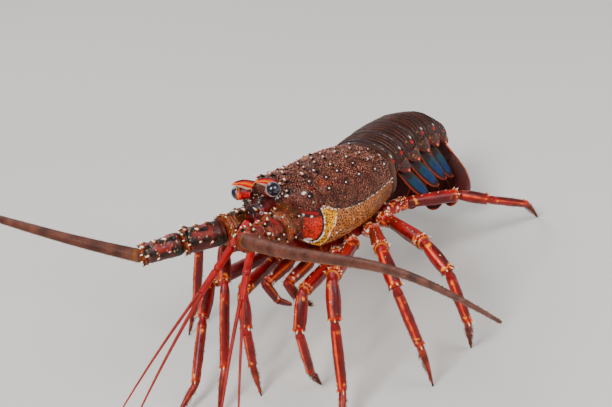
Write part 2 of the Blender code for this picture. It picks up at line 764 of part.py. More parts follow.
def build_leg(side, number, blocked):
    hip, ankle, knee, wrist, palm, toe = leg_joints(side, number)
    scale = OUTER_LEG_SCALE if number in (0, 4) else 1.0
    root, thigh, knee_wide, wrist_wide, palm_wide, toe_wide, tip = [r * scale for r in LEG_RADII]
    name = f"leg_{side}_{number + 1}"
    hip_radii = [root * share for share in HIP_SHARES]
    upper = segment(f"{name}_upper", hip, ankle, hip_radii, LEG_SIDES, sunk=HIP_SUNK)
    merus_radii = [thigh * share for share in THIGH_SHARES] + [knee_wide * share for share in KNEE_SHARES]
    merus = segment("merus", ankle, knee, merus_radii, LEG_SIDES, sunk=LIMB_SUNK)
    join(upper, [merus] + limb_spines(ankle, knee, merus_radii, KNEE_SPINES, KNEE_SPINE, side))
    clear_of(upper, blocked)
    carpus_radii = [r * share for r, share in zip((thigh, wrist_wide, wrist_wide), SHIN_SHARES)]
    lower = segment(f"{name}_lower", knee, wrist, carpus_radii, LEG_SIDES, sunk=LIMB_SUNK)
    hand_radii = [palm_wide * share for share in HAND_SHARES]
    hand = segment("propodus", wrist, palm, hand_radii, LEG_SIDES, sunk=LIMB_SUNK)
    claw = foot("dactylus", palm, toe, (toe_wide, toe_wide * TOE_SHARE, tip))
    join(lower, [hand, claw])
    clear_of(lower, [upper])
    return upper, lower


def foot(name, palm, toe, radii):
    """Pointed last joint that ends in a small flat on the floor."""
    ahead = unit(toe - palm)
    start = palm - ahead * LIMB_SUNK
    across = unit(np.cross(ahead, (0.0, 0.0, 1.0)))
    over = np.cross(across, ahead)
    level = unit((over[0], over[1], 0.0))
    rings = []
    for share, radius in zip((0.0, TOE_KINK), radii):
        rings.append(round_ring(start + (toe - start) * share, across, over, radius, radius, TOE_SIDES))
    rings.append(round_ring((toe[0], toe[1], 0.0), across, level, radii[2], radii[2], TOE_SIDES))
    return loft(name, rings)


def curve_points(start, angles, length, steps):
    """Smooth path whose heading and rise pass evenly through the given pairs."""
    table = [(k / (len(angles) - 1), yaw, rise) for k, (yaw, rise) in enumerate(angles)]
    points = [np.asarray(start, float)]
    for k in range(steps):
        yaw, rise = smooth_rows(table, (k + 0.5) / steps)
        points.append(points[-1] + heading(yaw, rise) * length / steps)
    return points


def antenna_joints(side):
    x, y, z = ANTENNA_ROOT
    joints = [stand((x * side_sign(side), y, z))]
    for length, (yaw, rise) in zip(ANTENNA_LENGTHS, ANTENNA_ANGLES[side]):
        joints.append(joints[-1] + heading(yaw, rise) * length)
    return joints


def build_antenna(side, carapace):
    joints = antenna_joints(side)
    pieces = []
    for k, kind in enumerate(("base", "middle", "end")):
        first, last = ANTENNA_RADII[k]
        radii = (first * ANTENNA_NECK, first, (first + last) / 2, last * ANTENNA_RIM, last * ANTENNA_END)
        name = f"antenna_{side}_{kind}"
        piece = segment(name, joints[k], joints[k + 1], radii, ANTENNA_SIDES, sunk=ANTENNA_SUNK)
        join(piece, limb_spines(joints[k], joints[k + 1], radii, ANTENNA_SPINE_RINGS, ANTENNA_SPINE, side))
        clear_of(piece, pieces[-1:] if pieces else [carapace])
        pieces.append(piece)
    points = curve_points(joints[-1], FLAGELLUM_ANGLES[side], FLAGELLUM_LENGTH, FLAGELLUM_STEPS)
    radii = np.linspace(0.0, 1.0, len(points)) ** FLAGELLUM_TAPER
    radii = FLAGELLUM_RADII[0] + (FLAGELLUM_RADII[1] - FLAGELLUM_RADII[0]) * radii
    split = int(len(points) * FLAGELLUM_SPLIT)
    start = points[0] - unit(points[1] - points[0]) * LIMB_SUNK
    near = tube(f"antenna_{side}_lash_near", [start] + points[1 : split + 1], radii[: split + 1], LASH_SIDES)
    clear_of(near, [pieces[-1]])
    way = unit(points[split + 1] - points[split - 1])
    first = points[split] + way * GAP
    far = tube(f"antenna_{side}_lash_far", [first] + points[split + 1 :], radii[split:], LASH_SIDES)
    clear_of(far, [near])
    return pieces + [near, far]


def build_antennule(side, plate):
    x, y, z = ANTENNULE_ROOT
    start = stand((x * side_sign(side), y, z))
    angles = ANTENNULE_ANGLES[side]
    stalk_points = curve_points(start, angles[:2], ANTENNULE_LENGTH, STALK_STEPS)
    radii = np.linspace(ANTENNULE_RADII[0], ANTENNULE_RADII[1], len(stalk_points))
    stalk = tube(f"antennule_{side}_stalk", stalk_points, radii, STALK_SIDES)
    clear_of(stalk, [plate])
    feelers = []
    outwards = -np.cross(heading(*angles[1]), (0.0, 0.0, 1.0)) * side_sign(side)
    for kind, (way, scale) in FEELER_SCALES.items():
        turned = [(yaw + FEELER_SPREAD * way * side_sign(side), rise) for yaw, rise in angles[1:]]
        points = curve_points(stalk_points[-1] + outwards * way, turned, FEELER_LENGTH, FEELER_STEPS)
        points[0] = points[0] + unit(points[1] - points[0]) * 2 * GAP
        sizes = np.linspace(FEELER_RADII[0], FEELER_RADII[1], len(points)) * scale
        feeler = tube(f"antennule_{side}_{kind}", points, sizes, FEELER_SIDES)
        clear_of(feeler, [stalk] + feelers)
        feelers.append(feeler)
    return [stalk] + feelers


def build_plate(carapace, bases):
    """Front plate between the antennae, with its two short spines."""
    rings = []
    for at, wide, high, low in PLATE:
        share, bevel = PLATE_BEVEL
        half = [(wide, low + bevel), (wide, high - bevel), (wide * share, high)]
        section = half + [(-a, b) for a, b in reversed(half)]
        rings.append(stand([(a, at, b) for a, b in section]))
    plate = loft("antennular_plate", rings)
    spines = []
    for s in (1.0, -1.0):
        mirror = np.array([s, 1.0, 1.0])
        foot_at = stand(mirror * PLATE_SPINE_ROOT)
        spines.append(spine(foot_at, TURN @ (mirror * PLATE_SPINE_WAY), *PLATE_SPINE))
    join(plate, spines)
    clear_of(plate, [carapace] + bases)
    return plate


def build_horn(side, carapace):
    s = side_sign(side)
    root = np.array([HORN_ROOT[0] * s, HORN_ROOT[1], HORN_ROOT[2]])
    tip = np.array([HORN_TIP[0] * s, HORN_TIP[1], HORN_TIP[2]])
    rings = []
    for t in HORN_STEPS:
        centre = root + (tip - root) * t + np.array([0.0, 0.0, HORN_ARCH * math.sin(math.pi * t)])
        tall = HORN_HEIGHT * (1 - t) ** HORN_TAPER + HORN_TIP_RADIUS
        section = round_ring(centre, LEFTWARDS, HORN_UP, tall * HORN_FLATNESS, tall, HORN_SIDES)
        rings.append(stand(section))
    horn = loft(f"horn_{side}", rings)
    clear_of(horn, [carapace])
    return horn


def build_eye(side, carapace, plate, horn, base):
    s = side_sign(side)
    centre = np.array([EYE[0] * s, EYE[1], EYE[2]])
    root = centre + np.array([EYE_STALK_ROOT[0] * s, EYE_STALK_ROOT[1], EYE_STALK_ROOT[2]])
    way = unit(centre - root)
    rings = []
    for angle in np.linspace(*EYE_RINGS):
        a = math.radians(angle)
        across = unit(np.cross(way, (0.0, 0.0, 1.0)))
        over = np.cross(across, way)
        radius = EYE_RADIUS * math.cos(a)
        place = centre + way * EYE_RADIUS * math.sin(a)
        rings.append(stand(round_ring(place, across, over, radius, radius, EYE_SIDES)))
    eye = loft(f"eye_{side}", rings)
    stalk = segment("stalk", stand(root), stand(centre), EYE_STALK_RADII, EYE_SIDES)
    join(eye, [stalk])
    clear_of(eye, [carapace, horn, base, plate])
    return eye


def build_mouth(carapace, sternum, bases, plate):
    rings = []
    for at, wide, high, low in MOUTH:
        share, bevel = MOUTH_FLOOR
        half = [(wide * share, low), (wide, low + bevel), (wide, high)]
        section = half + [(-a, b) for a, b in reversed(half)]
        rings.append(stand([(a, at, b) for a, b in section]))
    mouth = loft("mouth", rings)
    clear_of(mouth, [carapace, sternum] + bases + [plate])
    return mouth


def build_maxilliped(side, mouth, sternum, carapace, blocked):
    s = side_sign(side)
    joints = [stand((x * s, at, z)) for x, at, z in MAXILLIPED_JOINTS]
    lengths = []
    for k, radii in enumerate(MAXILLIPED_RADII):
        sunk = LIMB_SUNK if k else 0.0
        name = f"maxilliped_{side}"
        lengths.append(segment(name, joints[k], joints[k + 1], radii, MAXILLIPED_SIDES, sunk=sunk))
    limb = join(lengths[0], lengths[1:])
    clear_of(limb, [mouth, sternum, carapace] + blocked)
    return limb


def finish(piece, colour, roughness):
    """Material and smooth shading of one piece."""
    material = bpy.data.materials.new(piece.name)
    material.use_nodes = True
    shader = material.node_tree.nodes["Principled BSDF"]
    shader.inputs["Base Color"].default_value = (*colour, 1.0)
    shader.inputs["Roughness"].default_value = roughness
    shader.inputs["Metallic"].default_value = 0.0
    piece.data.materials.clear()
    piece.data.materials.append(material)
    piece.data.shade_smooth()
    piece.data.set_sharp_from_angle(angle=math.radians(40.0))


for old in list(bpy.data.objects):
    bpy.data.objects.remove(old, do_unlink=True)

SHELL = (0.13, 0.035, 0.025)
CRIMSON = (0.42, 0.03, 0.025)
ORANGE = (0.75, 0.13, 0.02)
EYE_BLACK = (0.02, 0.018, 0.02)
PALE = (0.45, 0.2, 0.1)
BRISTLE_BROWN = (0.2, 0.07, 0.045)

carapace = build_carapace()
sternum = build_sternum(carapace)
antennae = {side: build_antenna(side, carapace) for side in ("left", "right")}
bases = [antennae["left"][0], antennae["right"][0]]
plate = build_plate(carapace, bases)
horns = {side: build_horn(side, carapace) for side in ("left", "right")}
eyes = [build_eye(side, carapace, plate, horns[side], antennae[side][0]) for side in ("left", "right")]
mouth = build_mouth(carapace, sternum, bases, plate)
antennules = [build_antennule(side, plate) for side in ("left", "right")]
abdomen = build_abdomen()
fan = build_fan(abdomen[-1])
legs = []
for side in ("left", "right"):
    blocked = [sternum, carapace]
    for number in range(5):
        pair = build_leg(side, number, blocked)
        legs += pair
        blocked = [sternum, carapace, pair[0]]
maxillipeds = []
for side in ("left", "right"):
    front_hip = [piece for piece in legs if piece.name == f"leg_{side}_1_upper"]
    maxillipeds.append(build_maxilliped(side, mouth, sternum, carapace, front_hip))

for piece in [carapace] + abdomen:
    finish(piece, SHELL, 0.5)
for piece in legs + list(horns.values()) + maxillipeds + [antennae[s][k] for s in antennae for k in range(3)]:
    finish(piece, CRIMSON, 0.4)
for piece in [p for group in antennules for p in group] + fan:
    finish(piece, ORANGE, 0.45)
for piece in [p for s in antennae for p in antennae[s][3:]]:
    finish(piece, BRISTLE_BROWN, 0.6)
for piece in eyes:
    finish(piece, EYE_BLACK, 0.15)
for piece in (sternum, mouth, plate):
    finish(piece, PALE, 0.5)
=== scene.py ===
import json
import math
import random
from functools import partial

import bmesh
import bpy
import numpy as np
from mathutils import Matrix, Vector, noise

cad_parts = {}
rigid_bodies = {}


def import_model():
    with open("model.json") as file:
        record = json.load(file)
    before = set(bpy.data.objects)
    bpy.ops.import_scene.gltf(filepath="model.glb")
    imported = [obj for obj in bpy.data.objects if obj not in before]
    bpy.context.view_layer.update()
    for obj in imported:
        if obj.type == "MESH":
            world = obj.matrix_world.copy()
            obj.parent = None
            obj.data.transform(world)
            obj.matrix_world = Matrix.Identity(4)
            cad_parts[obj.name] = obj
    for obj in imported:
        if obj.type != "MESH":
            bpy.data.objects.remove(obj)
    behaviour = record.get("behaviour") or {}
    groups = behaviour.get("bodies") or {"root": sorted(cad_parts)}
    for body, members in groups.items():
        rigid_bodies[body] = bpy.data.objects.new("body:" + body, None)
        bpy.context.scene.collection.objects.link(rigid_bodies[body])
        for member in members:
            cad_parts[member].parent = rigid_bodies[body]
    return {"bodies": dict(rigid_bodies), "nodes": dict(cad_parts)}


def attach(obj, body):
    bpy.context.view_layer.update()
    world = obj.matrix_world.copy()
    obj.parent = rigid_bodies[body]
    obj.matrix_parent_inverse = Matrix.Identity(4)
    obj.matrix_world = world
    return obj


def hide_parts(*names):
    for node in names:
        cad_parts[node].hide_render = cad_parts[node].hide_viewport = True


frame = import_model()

for stray in list(bpy.data.objects):
    if stray not in list(frame["nodes"].values()) + list(frame["bodies"].values()):
        bpy.data.objects.remove(stray, do_unlink=True)
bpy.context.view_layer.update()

# Studio: a pale matt floor, and a camera where the photograph was taken from, a little
# above the animal's left front, rolled with the slope that it stands on.
MM = 0.001
CAMERA_TARGET = (20.35, 53.73, 64.1)
CAMERA_AZIMUTH = 38.9
CAMERA_HEIGHT_ANGLE = 27.2
CAMERA_ROLL = -16.9
CAMERA_DISTANCE = 594.0
CAMERA_LENS = 66.06
FLOOR_HALF = 3.0
FLOOR_COLOUR = "d9d6d0"
# Place, size and power of each soft light; all look at the middle of the model.
SOFT_LIGHTS = (
    ((0.15, -0.85, 1.05), 0.55, 19.0),
    ((1.15, 0.1, 0.85), 0.8, 11.0),
    ((-0.9, 0.5, 0.9), 0.8, 8.0),
)
SKY_COLOUR = (0.93, 0.96, 1.0, 1.0)
SKY_STRENGTH = 0.34


def linear(code):
    """Linear red, green and blue of an sRGB hex colour."""
    parts = [int(code[k : k + 2], 16) / 255 for k in (0, 2, 4)]
    return np.array([p / 12.92 if p <= 0.04045 else ((p + 0.055) / 1.055) ** 2.4 for p in parts])


def socket(sockets, name):
    """The live socket of that name or number, or None."""
    if isinstance(name, int):
        return sockets[name]
    return next((s for s in sockets if s.name == name and s.enabled), None)


def add_node(tree, kind, settings=None, links=None):
    """Add a node; a setting is a property's value or an input's, a link a node or its socket."""
    node = tree.nodes.new(kind)
    for name, value in (settings or {}).items():
        if socket(node.inputs, name) is None:
            setattr(node, name, value)
    for name, value in (settings or {}).items():
        if socket(node.inputs, name) is not None:
            socket(node.inputs, name).default_value = value
    for name, source in (links or {}).items():
        source = source if isinstance(source, bpy.types.NodeSocket) else source.outputs[0]
        tree.links.new(source, socket(node.inputs, name))
    return node


def new_material(name):
    """An empty material, and the function that adds a node to it."""
    material = bpy.data.materials.new(name)
    material.use_nodes = True
    material.node_tree.nodes.clear()
    return material, partial(add_node, material.node_tree)


def new_object(name, data):
    made = bpy.data.objects.new(name, data)
    bpy.context.scene.collection.objects.link(made)
    return made


def make_floor():
    """A wide board with a matt coat of paint: an even pale ground without gloss."""
    corners = [(x * FLOOR_HALF, y * FLOOR_HALF, 0) for x, y in ((-1, -1), (1, -1), (1, 1), (-1, 1))]
    mesh = bpy.data.meshes.new("studio_floor")
    mesh.from_pydata(corners, [], [(0, 1, 2, 3)])
    floor = new_object("studio_floor", mesh)
    material, add = new_material("matt painted board")
    place = add("ShaderNodeTexCoord").outputs["Object"]
    grain = add("ShaderNodeTexNoise", {"Scale": 900.0, "Detail": 2.0}, {"Vector": place})
    bump = add("ShaderNodeBump", {"Strength": 0.05, "Distance": 0.0004}, {"Height": grain})
    shader = add(
        "ShaderNodeBsdfPrincipled",
        {"Base Color": (*linear(FLOOR_COLOUR), 1.0), "Roughness": 0.75, "Specular IOR Level": 0.3},
        {"Normal": bump},
    )
    add("ShaderNodeOutputMaterial", links={"Surface": shader})
    floor.data.materials.append(material)


def make_camera():
    azimuth, height, roll = (math.radians(v) for v in (CAMERA_AZIMUTH, CAMERA_HEIGHT_ANGLE, CAMERA_ROLL))
    level = math.cos(height)
    back = Vector((math.sin(azimuth) * level, -math.cos(azimuth) * level, math.sin(height)))
    right = Vector((math.cos(azimuth), math.sin(azimuth), 0.0))
    up = back.cross(right)
    across = math.cos(roll) * right + math.sin(roll) * up
    over = math.cos(roll) * up - math.sin(roll) * right
    turned = Matrix((across, over, back)).transposed().to_4x4()
    turned.translation = (Vector(CAMERA_TARGET) + back * CAMERA_DISTANCE) * MM
    camera = new_object("camera", bpy.data.cameras.new("camera"))
    camera.data.lens = CAMERA_LENS
    camera.data.sensor_width = 36.0
    camera.data.clip_start = 0.01
    camera.matrix_world = turned
    bpy.context.scene.camera = camera


def make_lights():
    aim = Vector(CAMERA_TARGET) * MM
    for place, size, power in SOFT_LIGHTS:
        light = bpy.data.lights.new("soft_light", "AREA")
        light.size = size
        light.energy = power
        lamp = new_object("soft_light", light)
        lamp.location = place
        lamp.rotation_euler = (aim - Vector(place)).to_track_quat("-Z", "Y").to_euler()
    world = bpy.data.worlds.new("studio")
    world.use_nodes = True
    sky = world.node_tree.nodes["Background"].inputs
    sky["Color"].default_value = SKY_COLOUR
    sky["Strength"].default_value = SKY_STRENGTH
    bpy.context.scene.world = world


make_floor()
make_camera()
make_lights()

# Carapace: the stiff back shell, chitin and lime, moulted in one piece, with a neck groove behind
# the cheeks and sides that turn in over the gills. Its measures are the distance back from the
# horns and the angle around: 0 on the ridge, 90 at the widest place, 180 at the edge, left positive.
BODY_PITCH = -11.5
BODY_ROLL = -7.7
BODY_HEIGHT = 102.2
STAND_CENTRE = (-29.351, -12.328)
# Distance back, ridge height, half width, height of the widest place, half width and height of
# the edge.
CARAPACE = (
    (0.0, -1.5, 12.5, -11.0, 11.0, -24.0),
    (3.5, -0.5, 16.0, -14.0, 13.5, -31.0),
    (10.0, 0.0, 19.5, -16.5, 16.0, -37.0),
    (20.0, -0.5, 22.0, -18.0, 18.0, -39.0),
    (30.0, -1.6, 23.6, -19.0, 19.5, -39.5),
    (40.0, -2.0, 25.2, -19.5, 21.0, -39.0),
    (50.0, -2.4, 26.6, -20.0, 22.5, -38.0),
    (60.0, -3.2, 27.2, -20.5, 22.8, -36.5),
    (70.0, -4.4, 26.7, -21.0, 22.5, -34.5),
    (79.0, -5.8, 25.4, -21.0, 22.0, -33.0),
)
CARAPACE_LENGTH = CARAPACE[-1][0]
CARAPACE_ROWS = 250
CARAPACE_COLUMNS = 370
# How far around the columns are bunched towards the edges, and rows of the hidden inner side.
COLUMN_SPREAD = 0.86
UNDER_COLUMNS = 6
ARCH_POWER = 0.85
NECK_GROOVE = {"at": 31.0, "sweep": 13.0, "width": 2.6, "depth": 1.5}
# The groove bends forward over the cheek: angles around, and distance back there.
CHEEK_GROOVE_AT = ((30.0, 39.0, 57.0, 74.0, 84.0, 96.0), (5.0, 8.0, 12.0, 17.0, 18.5, 15.0))
REAR_GROOVE = {"at": 73.6, "width": 1.1, "depth": 0.8}
# The white seam over the gill cover and the orange line near its border: distances back, and
# angle around there.
SEAM_AROUND = ((15.0, 22.0, 30.0, 36.0, 42.0, 56.0, 79.0), (99.0, 104.0, 111.0, 114.0, 116.0, 114.0, 108.0))
GILL_BORDER = ((10.0, 17.0, 28.0, 40.0, 50.0, 64.0, 79.0), (171.0, 152.0, 138.0, 132.0, 124.0, 120.0, 112.0))
# Front and rear edge of the cream lappet behind the cheek plate: distance back at some angles.
LAPPET_ANGLES = (98.0, 110.0, 130.0, 150.0, 170.0)
LAPPET_FRONT = (15.5, 17.0, 15.0, 11.0, 7.0)
LAPPET_REAR = (20.0, 24.5, 21.5, 17.0, 12.0)
CHEEK_PLATE = {"at": 3.0, "around": (107.0, 152.0)}
WHITE_SPOTS = (
    (60.0, 20.0, 0.7), (60.0, 39.0, 0.65), (64.0, 57.0, 0.9), (9.0, 72.0, 1.15), (1.5, 74.0, 0.8),
    (5.0, 106.0, 0.9), (9.0, 108.0, 0.7), (4.0, 129.0, 0.8), (5.5, 168.0, 2.1), (4.0, 58.0, 0.7),
    (18.5, 97.5, 1.0), (20.0, 101.0, 0.8), (4.0, 36.0, 0.8), (12.0, 88.0, 0.5),
)
SPINE_LEAN = 0.8
SPINE_SEED = 11
# Rows of large spines, as in the solids: angle from the ridge, first place and step.
SPINE_ROWS = ((9.0, 9.0, 10.5), (24.0, 13.0, 10.5), (41.0, 8.0, 10.5), (58.0, 5.0, 11.0), (75.0, 12.0, 11.5))
SPINE_ROWS_END = 74.0
SPINE_SCATTER = (1.6, 3.0)
SPINE_LENGTHS = (4.8, 2.2)
SPINE_RADII = (1.25, 0.8)
SMALL_SPINES = 330
SMALL_SPINE_TRIES = 6000
SMALL_SPINE_SPACING = 2.7
GRANULES = 6800
GRANULE_SIZE = 0.3
SEAM_BEAD = 0.24
SEAM_WANDER = 1.5
# White lumps below the eye sockets: leftwards, back and height in the body frame, and radius.
SOCKET_BEADS = ((9.0, 0.2, -8.6, 0.9), (10.6, 0.4, -8.0, 0.75), (12.0, 0.6, -7.0, 0.55), (7.6, 0.2, -9.0, 0.5))
# Dry pigment looks deeper and stronger under the animal's wet skin.
WET_DEPTH = 1.18
WET_STRENGTH = 1.3
MAROON = "240b0a"
BROWN = "3a1711"
SOOT = "120707"
WHITE = "f3ece2"


def wet(colours):
    """Paint as it looks on wet shell: deeper and stronger than dry."""
    deep = np.clip(colours, 0.0, 1.0) ** WET_DEPTH
    grey = deep.mean(axis=-1, keepdims=True)
    return np.clip(grey + (deep - grey) * WET_STRENGTH, 0.0, 1.0)


def body_turn():
    pitch, roll = math.radians(BODY_PITCH), math.radians(BODY_ROLL)
    nod = np.array([[1, 0, 0], [0, math.cos(pitch), -math.sin(pitch)], [0, math.sin(pitch), math.cos(pitch)]])
    lean = np.array([[math.cos(roll), 0, math.sin(roll)], [0, 1, 0], [-math.sin(roll), 0, math.cos(roll)]])
    return lean @ nod


TURN = body_turn()


def stand(points):
    """Body frame to the frame that the model stands in, both in millimetres."""
    return np.asarray(points, float) @ TURN.T + np.array([-STAND_CENTRE[0], -STAND_CENTRE[1], BODY_HEIGHT])


def unit(vector):
    vector = np.asarray(vector, float)
    return vector / np.maximum(np.linalg.norm(vector, axis=-1, keepdims=True), 1e-9)


def sine(degrees):
    return np.sin(np.radians(degrees))


def cosine(degrees):
    return np.cos(np.radians(degrees))


def smooth_rows(rows, at):
    """Values between the rows of a table, whose first column is the place; at may be an array."""
    rows = np.asarray(rows, float)
    at = np.asarray(at, float)
    place = rows[:, 0]
    slope = np.gradient(rows[:, 1:], place, axis=0)
    index = np.clip(np.searchsorted(place, at) - 1, 0, len(place) - 2)
    span = (place[index + 1] - place[index])[..., None]
    t = (at[..., None] - place[index][..., None]) / span
    return (
        (2 * t**3 - 3 * t**2 + 1) * rows[index, 1:]
        + (t**3 - 2 * t**2 + t) * span * slope[index]
        + (3 * t**2 - 2 * t**3) * rows[index + 1, 1:]
        + (t**3 - t**2) * span * slope[index + 1]
    )


def bell(value, width):
    return np.exp(-((value / width) ** 2))


def step(value, low, high):
    """Smooth step from 0 at low to 1 at high."""
    t = np.clip((value - low) / (high - low), 0.0, 1.0)
    return t * t * (3 - 2 * t)


def clouds(points, size, seed=0.0):
    """Smooth noise from about -1 to 1 whose lumps are size across."""
    flat = np.asarray(points, float).reshape(-1, 3) / size + seed
    return np.array([noise.noise(Vector(p)) for p in flat]).reshape(np.shape(points)[:-1])


def specks(points, size, seed, low, high):
    """Spots of noise, size across: 0 where it is below low, 1 above high."""
    return step(clouds(points, size, seed), low, high)


def coats(colour, *layers):
    """Paint laid coat by coat; a coat is a colour, linear or hex, and how much of it shows."""
    colour = linear(colour) if isinstance(colour, str) else colour
    for other, share in layers:
        other = linear(other) if isinstance(other, str) else other
        share = np.asarray(share, float)[..., None]
        colour = colour * (1 - share) + other * share
    return colour


def mottled(points, colour, other, size, seed, middle=0.5, gain=0.8):
    """Two colours in soft patches, size across; middle and gain set how much each has."""
    return coats(colour, (other, np.clip(middle + gain * clouds(points, size, seed), 0, 1)))


def carapace_skin(at, around):
    """Smooth shell, in the body frame, without its fine relief."""
    at, around = np.broadcast_arrays(np.asarray(at, float), np.asarray(around, float))
    ridge, wide, wide_at, low_wide, low_at = np.moveaxis(smooth_rows(CARAPACE, at), -1, 0)
    side = np.sign(around)
    angle = np.radians(np.minimum(np.abs(around), 90.0))
    groove_at = NECK_GROOVE["at"] - NECK_GROOVE["sweep"] * np.sin(angle) ** 2
    depth = NECK_GROOVE["depth"] * bell(at - groove_at, NECK_GROOVE["width"])
    x = (wide - depth) * np.sin(angle)
    z = wide_at + (ridge - depth - wide_at) * np.cos(angle) ** ARCH_POWER
    turn = np.radians(np.maximum(np.abs(around) - 90.0, 0.0))
    below = np.abs(around) > 90.0
    x = np.where(below, low_wide + (wide - depth - low_wide) * np.cos(turn), x)
    z = np.where(below, wide_at + (low_at - wide_at) * np.sin(turn), z)
    return np.stack([x * side, at, z], axis=-1)


def carapace_normal(at, around):
    along = carapace_skin(at + 0.4, around) - carapace_skin(at - 0.4, around)
    across = carapace_skin(at, around + 0.4) - carapace_skin(at, around - 0.4)
    return unit(np.cross(across, along))


def cover(name, skins, material):
    """Closed skins in one mesh; each is a grid of points in mm, its colours, and at will its net."""
    points, colours, nets, faces = [], [], [], []
    base = 0
    for grid, paint, *rest in skins:
        net = rest[0] if rest else np.zeros((*paint.shape[:2], 4))
        rows, columns = grid.shape[:2]
        row, column = np.meshgrid(np.arange(rows - 1), np.arange(columns), indexing="ij")
        a = base + row * columns + column
        b = base + row * columns + (column + 1) % columns
        faces += np.stack([a, b, b + columns, a + columns], axis=-1).reshape(-1, 4).tolist()
        middle = base + rows * columns
        for end in (0, rows - 1):
            ring = base + end * columns + np.arange(columns)
            faces += [(int(ring[k]), int(ring[(k + 1) % columns]), middle) for k in range(columns)]
            middle += 1
        points += [grid.reshape(-1, 3), grid[:1].mean(axis=1), grid[-1:].mean(axis=1)]
        colours += [paint.reshape(-1, 3), paint[:1].mean(axis=1), paint[-1:].mean(axis=1)]
        nets += [net.reshape(-1, 4), net[:1].mean(axis=1), net[-1:].mean(axis=1)]
        base = middle
    points, colours, nets = np.vstack(points), wet(np.vstack(colours)), np.vstack(nets)
    mesh = bpy.data.meshes.new(name)
    mesh.from_pydata((points * MM).tolist(), [], faces)
    shape = bmesh.new()
    shape.from_mesh(mesh)
    bmesh.ops.recalc_face_normals(shape, faces=shape.faces)
    shape.to_mesh(mesh)
    shape.free()
    shades = mesh.color_attributes.new("Paint", "FLOAT_COLOR", "POINT")
    shades.data.foreach_set("color", np.hstack([colours, np.ones((len(colours), 1))]).ravel())
    if nets.any():
        veil = mesh.color_attributes.new("Net", "FLOAT_COLOR", "POINT")
        veil.data.foreach_set("color", np.hstack([wet(nets[:, :3]), nets[:, 3:]]).ravel())
    mesh.shade_smooth()
    mesh.materials.append(material)
    return new_object(name, mesh)


def fit(node, slot, *pieces):
    """Finished pieces stand for one solid of the still model, which is hidden; the slot is not used."""
    for piece in pieces:
        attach(piece, "root")
        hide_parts(node)


def netted(add, place, under, cell_mm):
    """Pale net of raised threads round dark pits, as strong as the mesh's Net says."""
    net = add("ShaderNodeAttribute", {"attribute_name": "Net"})
    scale = {"Scale": 1.0 / (cell_mm * MM), "Randomness": 0.85}
    edge = add("ShaderNodeTexVoronoi", {**scale, "feature": "DISTANCE_TO_EDGE"}, {"Vector": place})
    pit = add("ShaderNodeTexVoronoi", scale, {"Vector": place})
    parts = [
        add(
            "ShaderNodeMapRange",
            {"From Min": low, "From Max": high, "To Min": most, "To Max": 0.0},
            {"Value": cell},
        )
        for cell, low, high, most in ((edge, 0.05, 0.19, 1.0), (pit, 0.26, 0.48, 0.95))
    ]
    thread, hole = (
        add("ShaderNodeMath", {"operation": "MULTIPLY"}, {0: net.outputs["Alpha"], 1: part})
        for part in parts
    )
    threads = add(
        "ShaderNodeMix",
        {"data_type": "RGBA"},
        {"Factor": thread, "A": under, "B": net.outputs["Color"]},
    )
    pitted = add(
        "ShaderNodeMix",
        {"data_type": "RGBA", "B": (*linear(SOOT), 1.0)},
        {"Factor": hole, "A": socket(threads.outputs, "Result")},
    )
    return socket(pitted.outputs, "Result")


def shell_material(
    name, grain_mm, relief_mm, roughness, coat, freckle="2a0f0c", freckle_share=0.35, cell_mm=None
):
    """Painted living shell: the paint lies in the mesh; freckles, pores and gloss come from noise."""
    material, add = new_material(name)
    grain = 1.0 / (grain_mm * MM)
    place = add("ShaderNodeTexCoord").outputs["Object"]
    paint = add("ShaderNodeAttribute", {"attribute_name": "Paint"})
    pores = add("ShaderNodeTexVoronoi", {"Scale": grain}, {"Vector": place})
    mottle = add("ShaderNodeTexNoise", {"Scale": 0.3 / (grain_mm * MM), "Detail": 4.0}, {"Vector": place})
    where = add(
        "ShaderNodeMapRange",
        {"From Min": 0.5, "From Max": 0.72, "To Min": 0.0, "To Max": freckle_share},
        {"Value": mottle},
    )
    shade = add(
        "ShaderNodeMix",
        {"data_type": "RGBA", "B": (*wet(linear(freckle)), 1.0)},
        {"Factor": where, "A": paint.outputs["Color"]},
    )
    colour = socket(shade.outputs, "Result")
    if cell_mm:
        colour = netted(add, place, colour, cell_mm)
    rough = add(
        "ShaderNodeMapRange",
        {"From Min": 0.2, "From Max": 0.8, "To Min": roughness - 0.08, "To Max": roughness + 0.14},
        {"Value": mottle},
    )
    fine = add("ShaderNodeTexNoise", {"Scale": 3.0 / (grain_mm * MM), "Detail": 2.0}, {"Vector": place})
    heights = add(
        "ShaderNodeMath",
        {"operation": "MULTIPLY_ADD", 1: 0.35},
        {0: fine, 2: pores},
    )
    relief = {"Strength": 0.55, "Distance": relief_mm * MM}
    bump = add("ShaderNodeBump", relief, {"Height": heights})
    shader = add(
        "ShaderNodeBsdfPrincipled",
        {"IOR": 1.36, "Coat Weight": coat, "Coat Roughness": 0.18, "Subsurface Weight": 0.0},
        {"Base Color": colour, "Roughness": rough, "Normal": bump},
    )
    add("ShaderNodeOutputMaterial", links={"Surface": shader})
    return material


def carapace_spine_places():
    """Place, angle, length and root radius of the large spines, drawn as the solids draw them."""
    draw = random.Random(SPINE_SEED)
    places = []
    for angle, first, gap in SPINE_ROWS:
        for place in np.arange(first, SPINE_ROWS_END, gap):
            for sign in (1.0, -1.0):
                at = place + draw.uniform(-1.0, 1.0) * SPINE_SCATTER[0]
                turn = (angle + draw.uniform(-1.0, 1.0) * SPINE_SCATTER[1]) * sign
                fade = at / CARAPACE_LENGTH
                length = np.interp(fade, (0.0, 1.0), SPINE_LENGTHS) * draw.uniform(0.75, 1.1)
                places.append((at, turn, length, np.interp(fade, (0.0, 1.0), SPINE_RADII)))
    return places


